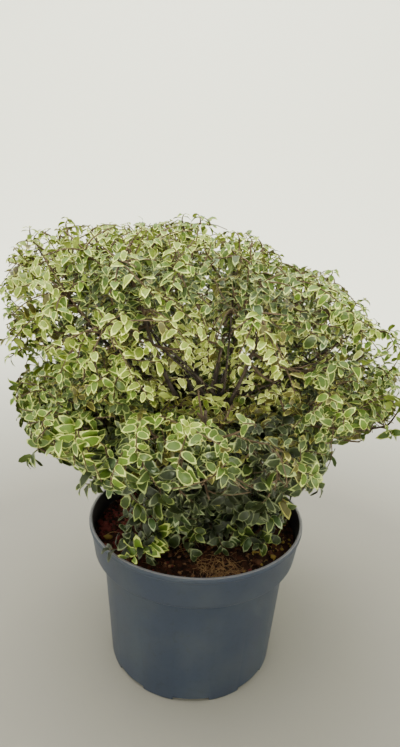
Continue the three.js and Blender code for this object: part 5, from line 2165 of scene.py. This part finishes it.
    def build_boughs(self, balls: Sequence[Ball]) -> Piece:
        """Returns: All boughs with their bark's relief and the bare stems that lead on from them, joined."""
        joined = Joined()
        for ball in balls:
            path, radii = ball.bough.path(self.bark_steps), ball.bough.radii(self.bark_steps)
            joined.add(*limb_shape(path, radii, self.bark_sides, self.bough_skin(ball.seed)))
        for leader in self.leaders:
            marks = np.array(leader, float)
            runs = np.linspace(0, len(marks) - 1, self.leader_points)
            line = np.column_stack([np.interp(runs, np.arange(len(marks)), column) for column in marks.T])
            for _ in range(4):
                line[1:-1] = (line[:-2] + line[1:-1] * 2 + line[2:]) / 4
            radii = np.linspace(*self.leader_radii, self.leader_points)
            joined.add(*limb_shape(line, radii, self.leader_sides))
        return joined.piece("boughs_bark", [YoungBark().material()])

    def build_twigs(self, ball: Ball, twigs: Sequence[Twig], finishes: Sequence[Finish]) -> Piece:
        """Makes the twigs of one ball.

        Args:
            ball: The ball.
            twigs: Its stem and all its twigs.
            finishes: Bark of the stem, of the twigs, and the green skin of the finest.

        Returns:
            One joined mesh.
        """
        joined = Joined()
        for twig in twigs:
            if twig.order == 0:
                path = np.concatenate([[ball.bough.path(20)[-2]], twig.path])
                radii = np.concatenate([[ball.bough.tip_radius * 0.9], twig.radii])
                joined.add(*limb_shape(path, radii, 8), 0)
            elif twig.order == 1:
                start, middle, tip = twig.path
                path = curve(start, 2 * middle - (start + tip) / 2, tip, 7)
                joined.add(*limb_shape(path, np.linspace(twig.radii[0], twig.radii[-1], 8), 6), 1)
            else:
                joined.add(*limb_shape(twig.path, twig.radii, 5 if twig.order == 2 else 4), twig.order - 1)
        return joined.piece(f"twigs_{ball.name}", finishes)

    def build(self) -> list[Piece]:
        """Returns: All pieces of the head, dressed and in their place in the frame."""
        plots = self.grow()
        boughs = self.build_boughs([plot.ball for plot in plots])
        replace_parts(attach(boughs, BODY), *(f"bough_{plot.ball.name}" for plot in plots))
        woods = skins(("stem_bark", "#3b3128", 0.8, 0.3, 2.2, 0.4),
                      ("twig_bark", "#4b3d2d", 0.75, 0.3, 1.6, 0.25),
                      ("green_twig_skin", "#6a6a3e", 0.6, 0.35))
        finishes = [skin for tint in Tint for skin in tint.skins()]
        forms = LeafForms()
        pieces = [boughs]
        for plot in plots:
            name = plot.ball.name
            wood = self.build_twigs(plot.ball, plot.twigs, woods)
            green = plot.leaves.piece(f"leaves_{name}", forms, finishes)
            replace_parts(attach(wood, BODY), f"foliage_{name}")
            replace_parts(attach(green, BODY), f"foliage_{name}")
            pieces += [wood, green]
            LOG.info("ball %s: %d twigs, %d leaves", name, len(plot.twigs), len(plot.leaves.rows))
        return pieces


# Studio


@dataclass
class Studio:
    """A plain pale round cove, soft light from above and in front, and the camera."""

    floor_colour: str = "#827f77"
    wall_colour: str = "#fffff4"
    cove_start: float = 0.4
    cove_radius: float = 3.2
    cove_height: float = 2.6
    cove_bend: float = 1.1
    camera_at: Triple = (-0.015119, -0.615994, 0.566583)
    pitch: float = 16.733879
    roll: float = 2.700843
    yaw: float = 1.071097
    lens: float = 26.0574

    def build_cove(self) -> Piece:
        """Returns: The floor that bends up into a wall all round."""
        deselect()
        bpy.ops.mesh.primitive_circle_add(vertices=96, radius=self.cove_start, location=(0, 0, -0.0003),
                                          fill_type="NGON")
        cove = bpy.context.object
        cove.name = cove.data.name = "cove"
        bpy.ops.object.transform_apply(location=True, rotation=True, scale=True)
        bpy.ops.object.mode_set(mode="EDIT")
        bpy.ops.mesh.select_mode(type="EDGE")
        bpy.ops.mesh.select_all(action="SELECT")
        bpy.ops.mesh.region_to_loop()
        flat = self.cove_radius - self.cove_bend
        bends = np.linspace(0, math.pi / 2, 12)
        steps = [(flat + self.cove_bend * math.sin(a), self.cove_bend * (1 - math.cos(a))) for a in bends]
        extrude_rings([(self.cove_start, 0.0), *steps, (self.cove_radius, self.cove_height)], 1.0)
        bpy.ops.object.mode_set(mode="OBJECT")
        cove.data.shade_smooth()
        finish, tree = new_finish("painted_cove")
        away = add_node(tree, "ShaderNodeVectorMath", {"operation": "LENGTH"}, links={0: place(tree)})
        share = add_node(tree, "ShaderNodeMath", {"operation": "DIVIDE"}, {1: self.cove_radius},
                         {0: away.outputs["Value"]})
        colour = blend(tree, share.outputs["Value"], 0.15, 0.75, (self.floor_colour, self.wall_colour))
        add_shader(tree, {"Roughness": 0.9}, {"Base Color": colour})
        cove.data.materials.append(finish)
        return cove

    def light(self, name: str, at: Triple, size: float, power: float, colour: str,
              aimed_at: Triple = (0.0, 0.0, 0.3), spread: float = 180.0) -> None:
        """Adds one soft light.

        Args:
            name: The light's name.
            at: Its place in metres.
            size: The side of its square.
            power: Its power in watts.
            colour: Its colour.
            aimed_at: The place that it looks at.
            spread: How wide its grid lets it shine, in degrees.
        """
        deselect()
        bpy.ops.object.light_add(type="AREA", location=at)
        lamp = bpy.context.object
        lamp.name = name
        lamp.data.size = size
        lamp.data.energy = power
        lamp.data.color = linear(colour)[:3]
        lamp.data.spread = math.radians(spread)
        lamp.visible_camera = False
        aim = Vector(aimed_at) - Vector(at)
        lamp.rotation_euler = aim.to_track_quat("-Z", "Y").to_euler()

    def build_lights(self) -> None:
        """Adds the lights: wide above, soft in front, narrow into the clearing, on the wall, and a sky."""
        self.light("light_above", (-0.3, -0.1, 2.3), 1.8, 75.0, "#fffdf4")
        self.light("light_front", (-0.9, -2.0, 1.3), 1.4, 8.0, "#f6f8ff")
        self.light("light_clearing", (-0.05, -1.5, 0.8), 0.3, 0.4, "#fffbe8", (0.012, 0.0, 0.425), 7.0)
        self.light("light_wall", (0.0, 1.5, 2.5), 1.6, 34.0, "#fffef6", (0.0, 3.2, 1.1))
        world = bpy.data.worlds.new("soft_sky")
        bpy.context.scene.world = world
        world.use_nodes = True
        world.node_tree.nodes.clear()
        sky = add_node(world.node_tree, "ShaderNodeBackground",
                       values={"Color": linear("#f3f5f0"), "Strength": 1.8})
        add_node(world.node_tree, "ShaderNodeOutputWorld", links={"Surface": sky.outputs["Background"]})

    def build_camera(self) -> None:
        """Adds the camera at the photograph's place, angle and width of view."""
        pitch, roll, yaw = (math.radians(angle) for angle in (self.pitch, self.roll, self.yaw))
        forward = Vector((math.sin(yaw) * math.cos(pitch), math.cos(yaw) * math.cos(pitch), -math.sin(pitch)))
        level = Vector((math.cos(yaw), -math.sin(yaw), 0))
        upright = level.cross(forward)
        right = level * math.cos(roll) + upright * math.sin(roll)
        top = upright * math.cos(roll) - level * math.sin(roll)
        bpy.ops.object.camera_add(location=self.camera_at)
        camera = bpy.context.object
        camera.name = "camera"
        turn = Matrix((right, top, -forward)).transposed().to_4x4()
        camera.matrix_world = Matrix.Translation(self.camera_at) @ turn
        camera.data.sensor_width = 36
        camera.data.lens = self.lens
        camera.data.clip_start = 0.01
        camera.data.dof.use_dof = False
        bpy.context.scene.camera = camera


def report(piece: Piece) -> None:
    """Logs a piece's name and its number of triangles."""
    triangles = sum(len(polygon.vertices) - 2 for polygon in piece.data.polygons)
    LOG.info("%s: %d triangles", piece.name, triangles)


def main() -> None:
    """Builds studio, pot, compost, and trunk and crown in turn."""
    logging.basicConfig(level=logging.INFO, format="%(message)s")
    studio = Studio()
    studio.build_camera()
    studio.build_lights()
    report(studio.build_cove())
    pot = NurseryPot()
    shell = pot.build()
    pot.dress(shell)
    report(shell)
    bed = CompostBed(pot)
    ground, loose = bed.build(), [bed.scatter(), bed.strew_fibres()]
    bed.dress(ground, loose)
    for piece in (ground, *loose):
        report(piece)
    trunk = Trunk()
    bark = trunk.build()
    trunk.dress(bark)
    report(bark)
    for piece in Crown(trunk).build():
        report(piece)


if __name__ == "__main__":
    main()
